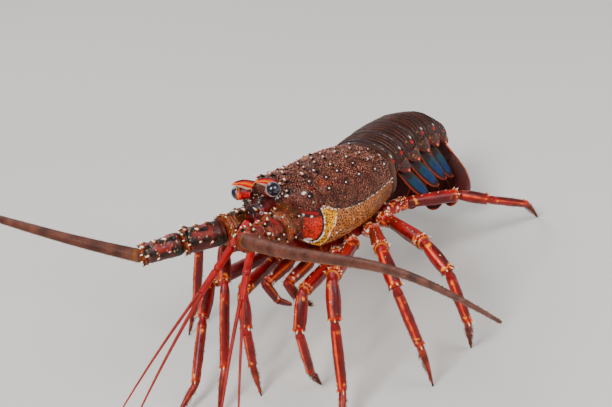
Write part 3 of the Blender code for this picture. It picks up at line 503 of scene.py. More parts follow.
def small_spine_places(large):
    """Small spines between the large ones, none closer than the spacing."""
    draw = random.Random(SPINE_SEED + 1)
    feet = [carapace_skin(at, turn) for at, turn, _, _ in large]
    places = []
    for _ in range(SMALL_SPINE_TRIES):
        if len(places) == SMALL_SPINES:
            break
        at, turn = draw.uniform(2.0, 72.0), draw.uniform(-96.0, 96.0)
        foot = carapace_skin(at, turn)
        if min(np.linalg.norm(foot - other) for other in feet) < SMALL_SPINE_SPACING:
            continue
        feet.append(foot)
        size = draw.uniform(0.55, 1.0) * (1.25 - 0.5 * at / CARAPACE_LENGTH)
        places.append((at, turn, 1.7 * size, 0.62 * size))
    return places


def rough_zone(at, around):
    """Where the shell carries granules: the back, not the cheeks, gill covers or rear collar."""
    seam = np.interp(at, *SEAM_AROUND)
    return step(seam - np.abs(around), 0.0, 4.0) * step(REAR_GROOVE["at"] - at, 0.0, 2.0)


def carapace_paint(at, around, points, spines):
    """Colours of the shell and of its net, from the distances back and the angles around."""
    wide = np.abs(around)
    # The back: maroon and brown, redder on the flank, with a pale net that thins out in patches.
    patchy = clouds(points, 7.0, 3.0)
    blush = bell(at - 24.0, 4.0) * bell(wide - 66.0, 9.0)
    base = coats(
        MAROON,
        (BROWN, np.clip(0.35 + 0.7 * patchy, 0, 1)),
        ("5e1a15", 0.6 * bell(wide - 74.0, 16.0) * step(at, 14.0, 24.0) * step(62.0 - at, 0, 14)),
        ("3f2214", 0.6 * bell(wide - 100.0, 13.0) * step(at, 24.0, 34.0)),
        ("7a2218", 0.7 * blush),
    )
    net = coats(mottled(points, "a87462", "6a3a2c", 3.0, 9.0, 0.45, 1.2), ("d07a5c", np.clip(blush, 0, 1)))
    veil = rough_zone(at, around) * np.clip(0.45 + 0.6 * clouds(points, 4.0, 14.0), 0.1, 0.9)
    # The gill cover: golden brown and pitted, below a broken white seam, with an orange border.
    seam = np.interp(at, *SEAM_AROUND) + SEAM_WANDER * clouds(points, 3.0, 1.0)
    rear = np.interp(wide, LAPPET_ANGLES, LAPPET_REAR) + 0.9 * clouds(points, 2.4, 2.0)
    front = np.interp(wide, LAPPET_ANGLES, LAPPET_FRONT)
    gill = step(wide - seam, -0.6, 0.8) * step(at - front, -0.5, 0.5)
    gold = coats(
        "976450", ("784834", np.clip(0.45 + 0.8 * patchy, 0, 1)), ("542f22", 0.7 * step(at, 36.0, 62.0))
    )
    net = coats(net, (coats("d09872", ("94623f", step(at, 40.0, 66.0))), gill))
    veil = np.maximum(veil * (1 - gill), 0.95 * gill)
    border = wide - np.interp(at, *GILL_BORDER)
    stripes = bell(border, 1.7) + 0.6 * bell(180.0 - wide - 12.0 - 2.0 * np.sin(at * 0.35), 1.8)
    stripes = np.clip(stripes, 0, 1)
    # Below the orange border the gill cover is darkened with painted shade, where the hips stand in front of
    # it.
    base = coats(
        base, (gold, gill), ("5c2c1a", 0.7 * step(border, 1.0, 7.0) * gill), ("c87820", 0.85 * stripes * gill)
    )
    veil = veil * (1 - 0.8 * stripes * gill)
    # The lappet: cream streaks between two white rims, with a groove before it whose shade is painted near
    # black.
    lappet = step(at - front, -0.4, 0.4) * step(rear - at, -0.4, 0.4) * step(wide, 97.0, 100.0)
    streaks = coats("b8601a", ("e0a144", specks(points * np.array([1.0, 0.45, 1.0]), 1.5, 31.0, -0.1, 0.3)))
    net = coats(net, ("edbc62", lappet))
    rim = bell(np.minimum(np.abs(at - rear), np.abs(at - front) + 0.2), 0.36)
    broken = specks(points, 1.4, 77.0, -0.35, 0.0) * bell(wide - seam, 0.8)
    base = coats(
        base,
        (streaks, lappet),
        ("f0dcc0", 0.75 * rim * step(wide, 97.0, 101.0) * step(176.0, wide, 168.0)),
        ("160808", 0.95 * bell(at - front + 1.1, 0.75) * step(wide, 92.0, 98.0) * step(172.0 - wide, 0, 14)),
        ("d8b48c", 0.6 * broken * step(at, 19.0, 22.0) * step(74.0 - at, 0.0, 4.0)),
    )
    # The cheek: a flame-orange plate, and a red groove with a dark rim above it.
    low, (first, last) = CHEEK_PLATE["at"], CHEEK_PLATE["around"]
    plate = step(at, low, low + 1.5) * step(front - at, 1.2, 2.2)
    plate = plate * step(wide, first, first + 4.0) * step(last + 16.0 - wide, 0.0, 10.0)
    flame = mottled(points, "c84400", "8c2006", 3.0, 41.0, 0.35, 0.9)
    flame = coats(flame, ("4a120c", 0.8 * step(118.0 - wide, 0.0, 8.0)))
    net = coats(net, ("e86a12", plate))
    veil = np.maximum(veil, 0.6 * plate)
    ridge = bell(wide - 98.0 - at * 0.5, 2.6) * step(at, 1.0, 3.0) * step(14.0 - at, 0.0, 2.0)
    cheek = np.interp(wide, *CHEEK_GROOVE_AT)
    inside = step(wide, 30.0, 36.0) * step(100.0 - wide, 0.0, 6.0)
    neck = NECK_GROOVE["at"] - NECK_GROOVE["sweep"] * sine(np.minimum(wide, 90)) ** 2
    base = coats(
        base,
        (flame, plate),
        ("70180c", 0.7 * bell(at - low - 0.6, 0.9) * step(wide, first, first + 6.0)),
        ("b0400f", 0.85 * ridge),
        ("5c1614", 0.6 * step(cheek - at, 0.0, 6.0) * step(wide, 58.0, 78.0) * step(104 - wide, 0, 6)),
        ("b8221a", 0.8 * bell(at - cheek, 0.9) * inside),
        (SOOT, 0.8 * bell(at - cheek - 1.9, 0.8) * inside),
        ("1a0908", 0.65 * bell(at - neck, 1.4) * step(90.0 - wide, 0.0, 8.0)),
    )
    # The rear collar: brown with two fine pale lines; the front edge, hidden behind the eyes and antenna bases,
    # is painted nearly black as shade.
    collar = step(at, REAR_GROOVE["at"] - 0.6, REAR_GROOVE["at"] + 0.6)
    lines = 0.5 * bell(at - 76.0, 0.35) + 0.4 * bell(at - 78.3, 0.35)
    base = coats(
        base,
        ("35120c", collar),
        ("95632f", lines * step(130.0 - wide, 0.0, 20.0)),
        ("6f4420", 0.5 * collar * step(wide, 66.0, 84.0)),
        ("170807", 0.85 * step(1.3 - at, 0.0, 0.8) * step(92.0 - wide, 0.0, 10.0)),
    )
    for spot_at, spot_around, radius in WHITE_SPOTS:
        for side in (1.0, -1.0):
            away = (points - carapace_skin(spot_at, spot_around * side)) * np.array([1.0, 1.0, 1.5])
            gap = np.linalg.norm(away, axis=-1)
            inner = step(radius + 0.2 - gap - 0.35 * clouds(points, 1.0, 81.0), 0.0, 0.4)
            base = coats(base, (WHITE, inner))
            veil = veil * (1 - inner)
    # A near-black ring round the foot of each large spine is its painted shadow.
    for spine_at, spine_around, _, radius in spines:
        gap = np.linalg.norm(points - carapace_skin(spine_at, spine_around), axis=-1)
        dark = step(radius * 2.0 - gap, 0.0, 0.6)
        base = coats(base, ("0e0607", 0.92 * dark))
        veil = veil * (1 - dark)
    veil = veil * (1 - bell(at - cheek, 1.4) * inside) * (1 - collar)
    return base, np.concatenate([net, veil[..., None]], axis=-1)


def carapace_relief(at, around, points, spines):
    """How far the real surface stands off the smooth shell."""
    wide = np.abs(around)
    cheek = np.interp(wide, *CHEEK_GROOVE_AT)
    seam = np.interp(at, *SEAM_AROUND)
    rear = np.interp(wide, LAPPET_ANGLES, LAPPET_REAR)
    front = np.interp(wide, LAPPET_ANGLES, LAPPET_FRONT)
    relief = 0.22 * clouds(points, 5.0) + 0.08 * clouds(points, 1.3, 8.0) * rough_zone(at, around)
    relief -= REAR_GROOVE["depth"] * bell(at - REAR_GROOVE["at"], REAR_GROOVE["width"])
    relief -= 0.8 * bell(at - cheek, 1.3) * step(wide, 30.0, 40.0) * step(100.0 - wide, 0.0, 8.0)
    relief += 0.3 * bell(wide - seam, 1.4) * step(at, 18.0, 24.0)
    relief += 0.5 * bell(at - rear, 0.9) * step(wide, 98.0, 104.0)
    relief -= 0.9 * bell(at - front + 1.1, 0.8) * step(wide, 94.0, 99.0) * step(172.0 - wide, 0.0, 14.0)
    relief += 0.6 * bell(wide - 177.0, 5.0)
    relief += 0.9 * step(wide, 108.0, 124.0) * step(170.0 - wide, 0.0, 20.0) * bell(at - 9.0, 5.0)
    for spine_at, spine_around, _, radius in spines:
        gap = np.linalg.norm(points - carapace_skin(spine_at, spine_around), axis=-1)
        relief += 0.55 * radius * bell(gap, radius * 1.5)
    return relief


def build_carapace(spines):
    down = np.linspace(0.0, CARAPACE_LENGTH, CARAPACE_ROWS)
    turn = np.linspace(-0.5, 0.5, CARAPACE_COLUMNS) * math.pi * COLUMN_SPREAD
    half = 180.0 * np.sin(turn) / math.sin(0.5 * COLUMN_SPREAD * math.pi)
    at, around = np.meshgrid(down, half, indexing="ij")
    smooth = carapace_skin(at, around)
    normal = carapace_normal(np.clip(at, 0.4, CARAPACE_LENGTH - 0.4), np.clip(around, -179.0, 179.0))
    points = smooth + normal * carapace_relief(at, around, smooth, spines)[..., None]
    paint, net = carapace_paint(at, around, smooth, spines)
    # The hidden inner side closes the shell from one lower edge to the other.
    share = np.linspace(0.0, 1.0, UNDER_COLUMNS + 2)[None, 1:-1, None]
    under = points[:, -1:] * (1 - share) + points[:, :1] * share
    under[..., 2] += 1.5
    points = np.concatenate([points, under], axis=1)
    paint = np.concatenate([paint, np.broadcast_to(linear("8a4a2c"), under.shape)], axis=1)
    net = np.concatenate([net, np.zeros((*under.shape[:2], 4))], axis=1)
    # Lime-stiffened shell, moulted and wet: dark, finely pitted, with a moist sheen.
    shell = shell_material("wet lime shell, maroon", 0.9, 0.35, 0.4, 0.08, cell_mm=1.25)
    fit("carapace", "carapace_shell", cover("carapace_shell", [(stand(points), paint, net)], shell))


large_spines = carapace_spine_places()
small_spines = small_spine_places(large_spines)
build_carapace(large_spines)

# Spikes of the carapace: horny spines, thorns, granules and white beads of the same shell as the
# skin that they stand on. Geometry Nodes plant one tapered spike on every point of a plan.
PATCH_SIZE = 0.003
PLANT_READS = ("out", "lean", "size", "root", "patch")
HAIR_SHAPE = {"sides": 3, "lengths": 2}


def growth_tree():
    """Tapered spikes on points: out, lean and size come from the points, rise runs root to tip."""
    tree = bpy.data.node_groups.new("growth", "GeometryNodeTree")
    for name, kind in (
        ("Geometry", "Geometry"), ("Sides", "Int"), ("Lengths", "Int"), ("Blunt", "Float"),
        ("Bend", "Float"), ("Patch", "Float"), ("Material", "Material"),
    ):
        tree.interface.new_socket(name=name, in_out="INPUT", socket_type=f"NodeSocket{kind}")
    tree.interface.new_socket(name="Geometry", in_out="OUTPUT", socket_type="NodeSocketGeometry")
    add = partial(add_node, tree)
    given = add("NodeGroupInput").outputs
    cone = add(
        "GeometryNodeMeshCone",
        {"fill_type": "NGON", "Radius Bottom": 1.0, "Depth": 1.0},
        {"Vertices": given["Sides"], "Side Segments": given["Lengths"], "Radius Top": given["Blunt"]},
    )
    place = add("GeometryNodeInputPosition")
    parts = add("ShaderNodeSeparateXYZ", links={"Vector": place})
    square = add("ShaderNodeMath", {"operation": "POWER", 1: 2.0}, {0: parts.outputs["Z"]})
    shift = add("ShaderNodeMath", {"operation": "MULTIPLY"}, {0: square, 1: given["Bend"]})
    bow = add("ShaderNodeCombineXYZ", links={"X": shift})
    rise = add(
        "GeometryNodeStoreNamedAttribute",
        {"data_type": "FLOAT", "domain": "POINT", "Name": "rise"},
        {"Geometry": cone, "Value": parts.outputs["Z"]},
    )
    flat = add("ShaderNodeCombineXYZ", links={"X": parts.outputs["X"], "Y": parts.outputs["Z"]})
    patch = add(
        "GeometryNodeStoreNamedAttribute",
        {"data_type": "FLOAT_VECTOR", "domain": "POINT", "Name": "patch"},
        {"Geometry": rise, "Value": flat},
    )
    bent = add("GeometryNodeSetPosition", links={"Geometry": patch, "Offset": bow})
    read = {
        name: socket(
            add("GeometryNodeInputNamedAttribute", {"data_type": "FLOAT_VECTOR", "Name": name}).outputs,
            "Attribute",
        )
        for name in PLANT_READS
    }
    turn = add(
        "FunctionNodeAxesToRotation",
        {"primary_axis": "Z", "secondary_axis": "X"},
        {0: read["out"], 1: read["lean"]},
    )
    planted = add("GeometryNodeInstanceOnPoints", links={
        "Points": given["Geometry"], "Instance": bent,
        "Rotation": turn, "Scale": read["size"],
    })
    solid = add("GeometryNodeRealizeInstances", links={"Geometry": planted})
    scaled = {"Vector": read["patch"], "Scale": given["Patch"]}
    small = add("ShaderNodeVectorMath", {"operation": "SCALE"}, scaled)
    plan = add("ShaderNodeVectorMath", {"operation": "ADD"}, {0: read["root"], 1: small})
    mapped = add(
        "GeometryNodeStoreNamedAttribute",
        {"data_type": "FLOAT2", "domain": "CORNER", "Name": "OFBake"},
        {"Geometry": solid, "Value": plan},
    )
    last = mapped
    for name in PLANT_READS:
        last = add("GeometryNodeRemoveAttribute", {"Name": name}, {"Geometry": last})
    smooth = add("GeometryNodeSetShadeSmooth", links={"Geometry": last})
    dressed = add(
        "GeometryNodeSetMaterial", links={"Geometry": smooth, "Material": given["Material"]}
    )
    add("NodeGroupOutput", links={"Geometry": dressed})
    return tree


GROWTH = growth_tree()


def grow(name, rows, material, sides=6, lengths=4, blunt=0.04, bend=0.2):
    """One plain mesh of spikes; a row is foot, out, lean, radius and length in mm, root u and v."""
    feet = np.array([r[0] for r in rows], float)
    outs = unit([r[1] for r in rows])
    leans = np.array([r[2] for r in rows], float)
    sizes = np.array([(r[3], r[3], r[4]) for r in rows], float) * MM
    roots = np.array([(r[5], r[6], 0.0) for r in rows], float) * (1 - PATCH_SIZE)
    mesh = bpy.data.meshes.new(name)
    mesh.from_pydata((feet * MM).tolist(), [], [])
    for key, values in (("out", outs), ("lean", leans), ("size", sizes), ("root", roots)):
        mesh.attributes.new(key, "FLOAT_VECTOR", "POINT").data.foreach_set("vector", values.ravel())
    seedling = new_object(name, mesh)
    maker = seedling.modifiers.new("growth", "NODES")
    maker.node_group = GROWTH
    asked = {
        "Sides": sides, "Lengths": lengths, "Blunt": blunt, "Bend": bend,
        "Patch": PATCH_SIZE, "Material": material,
    }
    for item in GROWTH.interface.items_tree:
        if item.in_out == "INPUT" and item.name in asked:
            maker[item.identifier] = asked[item.name]
    view = bpy.context.evaluated_depsgraph_get()
    made = bpy.data.meshes.new_from_object(seedling.evaluated_get(view))
    seedling.modifiers.remove(maker)
    seedling.data = made
    return seedling


def spine_material(name, stops, roughness=0.36, variety=0.0):
    """Horny spike, coloured from root to tip; variety moves the colours up or down by place."""
    material, add = new_material(name)
    rise = add("ShaderNodeAttribute", {"attribute_name": "rise"})
    place = add("ShaderNodeTexCoord").outputs["Object"]
    ramp = add("ShaderNodeValToRGB")
    wave = add("ShaderNodeTexNoise", {"Scale": 0.9 / MM, "Detail": 3.0}, {"Vector": place})
    shift = add("ShaderNodeMath", {"operation": "MULTIPLY_ADD", 1: 0.16, 2: -0.08}, {0: wave})
    share = add("ShaderNodeMath", {"operation": "ADD"}, {0: rise.outputs["Fac"], 1: shift})
    if variety:
        patch = add("ShaderNodeTexNoise", {"Scale": 0.16 / MM}, {"Vector": place})
        range_of = {"operation": "MULTIPLY_ADD", 1: variety, 2: -variety / 2}
        drift = add("ShaderNodeMath", range_of, {0: patch})
        share = add("ShaderNodeMath", {"operation": "ADD"}, {0: share, 1: drift})
    material.node_tree.links.new(share.outputs[0], ramp.inputs["Fac"])
    elements = ramp.color_ramp.elements
    while len(elements) < len(stops):
        elements.new(0.5)
    for element, (at, code) in zip(elements, stops):
        element.position = at
        element.color = (*wet(linear(code)), 1.0)
    bump = add("ShaderNodeBump", {"Strength": 0.3, "Distance": 0.08 * MM}, {"Height": wave})
    dull = add(
        "ShaderNodeMapRange",
        {"To Min": roughness - 0.1, "To Max": roughness + 0.15},
        {"Value": wave},
    )
    shader = add(
        "ShaderNodeBsdfPrincipled",
        {"IOR": 1.4},
        {
            "Base Color": ramp.outputs["Color"], "Roughness": dull,
            "Normal": bump,
        },
    )
    add("ShaderNodeOutputMaterial", links={"Surface": shader})
    return material


def carapace_row(at, around, radius, length, lean, sunk=0.25):
    """Foot, directions and root of one spike on the carapace."""
    foot = carapace_skin(at, around)
    normal = carapace_normal(at, around)
    out = TURN @ (normal + np.array([0.0, -lean, 0.0]))
    ahead = TURN @ np.array([0.0, -1.0, 0.12])
    return (stand(foot) - TURN @ normal * sunk, out, ahead, radius, length, around / 360 + 0.5, at / 80)


def pearl_rows(draw):
    """White beads of lime on the seam, the rims of the lappet, the gill border and the sockets."""
    rows = []
    for s in (1.0, -1.0):
        trail = [(at, np.interp(at, *SEAM_AROUND)) for at in np.arange(18.5, 74.0, 0.62)]
        for edge in (LAPPET_FRONT, LAPPET_REAR):
            trail += [(np.interp(turn, LAPPET_ANGLES, edge), turn) for turn in np.arange(99.0, 172.0, 1.35)]
        trail += [(at, np.interp(at, *GILL_BORDER) + 3.0) for at in np.arange(20.0, 74.0, 2.6)]
        for at, turn in trail:
            wander = SEAM_WANDER * float(clouds(carapace_skin(at, turn * s), 3.0, 1.0))
            turn = turn + wander + draw.uniform(-0.5, 0.5)
            if draw.random() < 0.3:
                continue
            size = SEAM_BEAD * draw.uniform(0.4, 1.5) * (1.5 if at < 24.0 else 1.0)
            rows.append(carapace_row(at + draw.uniform(-0.2, 0.2), turn * s, size, size * 1.6, 0.2, 0.05))
        for x, at, z, size in SOCKET_BEADS:
            way, lean = TURN @ np.array([0.5 * s, -1.0, -0.3]), TURN @ np.array([0.0, 0.0, 1.0])
            rows.append((stand((x * s, at, z)), way, lean, size, size, 0.5, 0.01))
    return rows


def granule_rows(draw):
    """Low granules wherever the shell is rough."""
    rows = []
    while len(rows) < GRANULES:
        at, turn = draw.uniform(1.0, REAR_GROOVE["at"]), draw.uniform(-112.0, 112.0)
        if draw.random() > rough_zone(at, turn) * 0.95 + 0.02:
            continue
        size = draw.uniform(0.6, 1.25)
        rows.append(carapace_row(at, turn, GRANULE_SIZE * size, 0.42 * size + 0.2, 0.35, 0.12))
    return rows


def build_carapace_growth(large, small):
    draw = random.Random(SPINE_SEED + 2)
    # Horn over shell: black at the collar, and worn to clear white at the tip.
    spike = spine_material(
        "spine, dark collar and white tip",
        (
            (0.0, "120707"), (0.48, "1c0b0a"), (0.64, "6a3028"),
            (0.76, "d09080"), (0.88, "f8e8e0"), (1.0, "ffffff"),
        ),
        variety=0.7,
    )
    rows = [carapace_row(at, turn, wide * 1.05, tall + 0.3, SPINE_LEAN, 0.5) for at, turn, tall, wide in large]
    spines = grow("carapace_spines", rows, spike, sides=9, lengths=6, blunt=0.24, bend=0.35)
    # Thorns and granules stay brown, with only a blush of pink on top.
    thorn = spine_material(
        "small spine, brown with a pink tip",
        ((0.0, "170908"), (0.55, "3c1610"), (0.8, "8c5040"), (1.0, "e8c0b0")),
        variety=0.8,
    )
    rows = [carapace_row(at, turn, wide, tall, SPINE_LEAN * 0.9) for at, turn, tall, wide in small]
    thorns = grow("carapace_thorns", rows, thorn, sides=7, lengths=4, blunt=0.2, bend=0.3)
    bead = spine_material(
        "granules of shell, pale crown",
        ((0.0, "140706"), (0.5, "34140e"), (0.78, "7a4234"), (1.0, "d2a292")),
        0.42,
        variety=0.8,
    )
    # Beads of clean lime: chalk white and smooth.
    pearl = spine_material("white beads of lime", ((0.0, "c9b48f"), (0.5, "f7efe0"), (1.0, "ffffff")), 0.3)
    pearls = grow("carapace_pearls", pearl_rows(draw), pearl, sides=7, lengths=3, blunt=0.55, bend=0.0)
    beads = grow("carapace_granules", granule_rows(draw), bead, sides=5, lengths=2, blunt=0.4, bend=0.1)
    fit("carapace", "carapace_shell", spines, thorns, beads, pearls)


build_carapace_growth(large_spines, small_spines)

# Eyes: each a dark glassy ball of tiny lenses held in a flame-red cup of shell on a short stalk,
# in the notch beside its horn, with a thin pale rim where the cup meets the ball.
EYE = (11.0, -4.0, -3.2)
EYE_RADIUS = 3.7
EYE_STALK_ROOT = (-5.0, 3.0, -2.0)
# The cup of shell that holds the ball: how far it reaches beyond the ball's middle, and its radii.
EYE_CUP = {
    "over": 0.75,
    "thick": 0.2,
    "shares": (0.0, 0.3, 0.62, 0.9, 0.97, 1.0),
    "radii": (2.4, 2.6, 3.45, 3.72, 3.66, 3.4),
}
LENS_SIZE = 0.22


def side_sign(side):
    return 1.0 if side == "left" else -1.0


def sweep(centres, radii, sides=20, up=(0.0, 0.0, 1.0), flat=1.0):
    """Rings along a path: points, outward directions, share along and angle around in degrees."""
    centres = np.asarray(centres, float)
    ahead = unit(np.gradient(centres, axis=0))
    across = unit(np.cross(ahead, np.asarray(up, float)))
    over = np.cross(across, ahead)
    turn = np.arange(sides) * 2 * math.pi / sides
    out = across[:, None] * (np.cos(turn) * flat)[None, :, None] + over[:, None] * np.sin(turn)[None, :, None]
    points = centres[:, None] + out * np.asarray(radii, float)[:, None, None]
    length = np.concatenate([[0.0], np.cumsum(np.linalg.norm(np.diff(centres, axis=0), axis=1))])
    share = np.broadcast_to((length / length[-1])[:, None], points.shape[:2])
    around = np.broadcast_to(np.degrees(turn)[None], points.shape[:2])
    return points, unit(out), share, around


def eye_material():
    """Wet lens layer: slate with purple clouds under a clear hard gloss, and a fine net of facets."""
    material, add = new_material("wet compound eye")
    place = add("ShaderNodeTexCoord").outputs["Object"]
    paint = add("ShaderNodeAttribute", {"attribute_name": "Paint"})
    net = add("ShaderNodeTexVoronoi", {"Scale": 1.0 / (LENS_SIZE * MM)}, {"Vector": place})
    cloud = add("ShaderNodeTexNoise", {"Scale": 0.7 / MM, "Detail": 3.0}, {"Vector": place})
    cloudy = {"From Min": 0.45, "From Max": 0.65, "To Max": 0.6}
    where = add("ShaderNodeMapRange", cloudy, {"Value": cloud})
    tint = add(
        "ShaderNodeMix",
        {"data_type": "RGBA", "B": (*linear("3d2a4c"), 1.0)},
        {"Factor": where, "A": paint.outputs["Color"]},
    )
    bump = add(
        "ShaderNodeBump", {"Strength": 0.25, "Distance": 0.04 * MM}, {"Height": net}
    )
    shader = add(
        "ShaderNodeBsdfPrincipled",
        {"Roughness": 0.16, "IOR": 1.45, "Coat Weight": 0.7, "Coat Roughness": 0.05},
        {"Base Color": socket(tint.outputs, "Result"), "Normal": bump},
    )
    add("ShaderNodeOutputMaterial", links={"Surface": shader})
    return material


def build_eyes():
    wet_lens = eye_material()
    # Thin smooth shell over red flesh, always wet: flame red with small sharp glints.
    cup_shell = shell_material("eye cup shell, flame red", 0.5, 0.15, 0.32, 0.3, "4a0f0a", 0.6)
    for side in ("left", "right"):
        s = side_sign(side)
        centre = np.array([EYE[0] * s, EYE[1], EYE[2]])
        root = centre + np.array([EYE_STALK_ROOT[0] * s, EYE_STALK_ROOT[1], EYE_STALK_ROOT[2]])
        way = unit(centre - root)
        dip = np.radians(np.linspace(-62.0, 89.0, 44))
        ball_radius = EYE_RADIUS - EYE_CUP["thick"]
        middles = stand(centre + way * (ball_radius * np.sin(dip))[:, None])
        points, _, share, around = sweep(middles, ball_radius * np.cos(dip), 56)
        paint = coats(
            "2b2e38",
            ("14151c", step(share, 0.45, 0.95)),
            ("464c58", 0.6 * bell(share - 0.5, 0.07)),
        )
        ball = cover(f"eye_{side}_ball", [(points, paint)], wet_lens)
        steps = np.linspace(0.0, 1.0, 40)
        reach = np.linalg.norm(centre - root) + EYE_CUP["over"]
        middles = stand(root + way * (steps * reach)[:, None])
        points, _, share, around = sweep(middles, np.interp(steps, EYE_CUP["shares"], EYE_CUP["radii"]), 48)
        below = -sine(around)
        lumps = clouds(points, 1.8, 4.0)
        paint = coats(
            "e23a10",
            ("9c160f", step(lumps, -0.1, 0.45)),
            ("2a0c0b", 0.85 * step(-below, 0.35, 0.85)),
            ("f7c23c", bell(share - 0.83, 0.035) * step(lumps, -0.3, 0.1)),
            (WHITE, step(below, 0.2, 0.5) * specks(points, 1.5, 52.0, 0.1, 0.2) * step(share, 0.45, 0.6)),
            ("a9b0b4", step(share, 0.95, 0.98)),
        )
        cup = cover(f"eye_{side}_cup", [(points, paint)], cup_shell)
        fit(f"eye_{side}", "eye", ball, cup)


build_eyes()

# Horns: two curved blades of the front edge that guard the eyes, smooth and hard, dark red
# above with a yellow flame along the side and a white lower edge.
HORN_ROOT = (6.4, 3.5, -4.0)
HORN_TIP = (7.4, -10.5, 3.2)
HORN_ARCH = 1.2
HORN_HEIGHT = 3.3
HORN_TIP_RADIUS = 0.3
HORN_FLATNESS = 0.62
HORN_UP = (0.0, 0.35, 0.94)


def build_horns():
    # Dense shell without pores: saturated colour under clear highlights.
    polish = shell_material("smooth hard shell, orange horn", 0.6, 0.08, 0.24, 0.3, "7a160c", 0.5)
    for side in ("left", "right"):
        s = side_sign(side)
        root, tip = (np.array([p[0] * s, p[1], p[2]]) for p in (HORN_ROOT, HORN_TIP))
        steps = np.linspace(0.0, 1.0, 60)
        middles = root + (tip - root) * steps[:, None]
        middles[:, 2] += HORN_ARCH * np.sin(math.pi * steps)
        tall = HORN_HEIGHT * (1 - steps) ** 0.8 + HORN_TIP_RADIUS
        turn = np.arange(32) * 2 * math.pi / 32
        out = np.cos(turn)[:, None] * np.array([HORN_FLATNESS * s, 0.0, 0.0])
        out = out + np.sin(turn)[:, None] * np.array(HORN_UP)
        points = middles[:, None] + out[None] * tall[:, None, None]
        share = np.broadcast_to(steps[:, None], points.shape[:2])
        high = np.broadcast_to(np.sin(turn)[None], points.shape[:2])
        wave = 0.18 * clouds(points, 3.0, 6.0)
        paint = coats(
            "e0360a",
            ("4a0d0b", step(high + wave, 0.35, 0.8)),
            ("fba516", bell(high + wave - 0.08, 0.2) * step(share, 0.03, 0.15)),
            ("f4e4cf", step(-high + wave, 0.5, 0.75) * step(0.95 - share, 0.0, 0.1)),
            ("f39b2a", step(share, 0.86, 0.96)),
            ("5a1210", 0.7 * step(0.12 - share, 0.0, 0.1)),
        )
        horn = cover(f"horn_{side}_blade", [(stand(points), paint)], polish)
        fit(f"horn_{side}", "horn", horn)


build_horns()

# Antennae: three stout spiny joints each side, hinged on pale membrane, then a long stiff whip
# of many short rings with bristles. The front plate with two spines closes the gap between them.
ANTENNA_ROOT = (11.5, 0.5, -20.5)
ANTENNA_LENGTHS = (18.5, 20.0, 21.0)
ANTENNA_RADII = ((8.6, 7.6), (6.4, 6.0), (5.6, 4.9))
ANTENNA_ANGLES = {
    "left": ((12, 16), (18, 24), (24, 28)),
    "right": ((-18, 16), (-42, 6), (-45, 3)),
}
FLAGELLUM_LENGTH = 232.0
FLAGELLUM_RADII = (3.3, 0.45)
FLAGELLUM_SPLIT = 0.42
FLAGELLUM_STEPS = 28
FLAGELLUM_ANGLES = {
    "left": ((62, 12), (65, 16), (50, 20), (44, 22)),
    "right": ((-84, 12), (-94, 7), (-95, 4), (-97, 2)),
}
LASH_RING = 1.1
PLATE = ((4.0, 7.0, -5.0, -26.0), (-4.0, 6.5, -7.0, -24.0), (-11.0, 5.5, -9.5, -20.5))
PLATE_SPINE_ROOT = (3.2, -9.5, -11.5)
# Share along a joint, and how many spines stand around its upper and outer face there.
ANTENNA_SPINE_ROWS = {
    "left": ((0.3, 2), (0.6, 3), (0.91, 6)),
    "right": ((0.26, 4), (0.52, 4), (0.78, 4), (0.91, 7)),
}
ANTENNA_SMALL_SPINES = 110
ANTENNA_FRINGE_HAIRS = 420
PLATE_THORNS = 7
LIMB_SUNK = 1.5


def heading(yaw, rise):
    """Direction in the stand frame: yaw from straight ahead to the left, rise above the floor."""
    yaw, rise = math.radians(yaw), math.radians(rise)
    return np.array([math.sin(yaw) * math.cos(rise), -math.cos(yaw) * math.cos(rise), math.sin(rise)])


def curve_points(start, angles, length, steps):
    """Smooth path whose heading and rise pass evenly through the given pairs."""
    table = [(k / (len(angles) - 1), yaw, rise) for k, (yaw, rise) in enumerate(angles)]
    points = [np.asarray(start, float)]
    for k in range(steps):
        yaw, rise = smooth_rows(table, (k + 0.5) / steps)
        points.append(points[-1] + heading(yaw, rise) * length / steps)
    return np.array(points)


def finer(points, count):
    """The same path with count evenly spread points."""
    points = np.asarray(points, float)
    length = np.concatenate([[0.0], np.cumsum(np.linalg.norm(np.diff(points, axis=0), axis=1))])
    rows = np.column_stack([length, points])
    return smooth_rows(rows, np.linspace(0.0, length[-1], count))


def limb_skin(start, end, radii, sunk=LIMB_SUNK, rows=54, sides=24, rim=0.1, neck=0.76, close=0.05, flat=1.0):
    """One joint of a limb: a neck sunk in the joint before it, a swelling, a rim and a rounded end."""
    start, end = np.asarray(start, float), np.asarray(end, float)
    start = start - unit(end - start) * sunk
    share = 0.5 - 0.5 * np.cos(np.linspace(0.0, math.pi, rows))
    table = [(k / (len(radii) - 1), r) for k, r in enumerate(radii)]
    radius = smooth_rows(table, share)[..., 0]
    radius = radius * (neck + (1 - neck) * step(share, 0.02, 0.13)) * (1 + rim * bell(share - 0.9, 0.035))
    ending = np.clip((share - (1 - close)) / close, 0.0, 1.0)
    radius = radius * np.sqrt(np.clip(1 - ending**2, 0.02, 1.0))
    return sweep(start + (end - start) * share[:, None], radius, sides, flat=flat)


def joint_rows(start, end, radii, side):
    """The way ahead on a straight joint, and the function that makes one spike's row on it."""
    ahead = unit(np.asarray(end) - np.asarray(start))
    across = unit(np.cross(ahead, (0.0, 0.0, 1.0)))
    inwards, over = across * side_sign(side), np.cross(across, ahead)
    places = np.linspace(0.0, 1.0, len(radii))

    def row(share, angle, size, lean, root, sunk=0.3):
        """Angles count from the inner side, over the top; size is root radius and length."""
        turn = math.radians(angle)
        out = inwards * math.cos(turn) + over * math.sin(turn)
        foot = start + (end - start) * share + out * (np.interp(share, places, radii) - sunk)
        return (foot, out + ahead * lean, ahead, *size, *root)

    return ahead, row


def antenna_joints(side):
    x, y, z = ANTENNA_ROOT
    joints = [stand((x * side_sign(side), y, z))]
    for length, (yaw, rise) in zip(ANTENNA_LENGTHS, ANTENNA_ANGLES[side]):
        joints.append(joints[-1] + heading(yaw, rise) * length)
    return joints


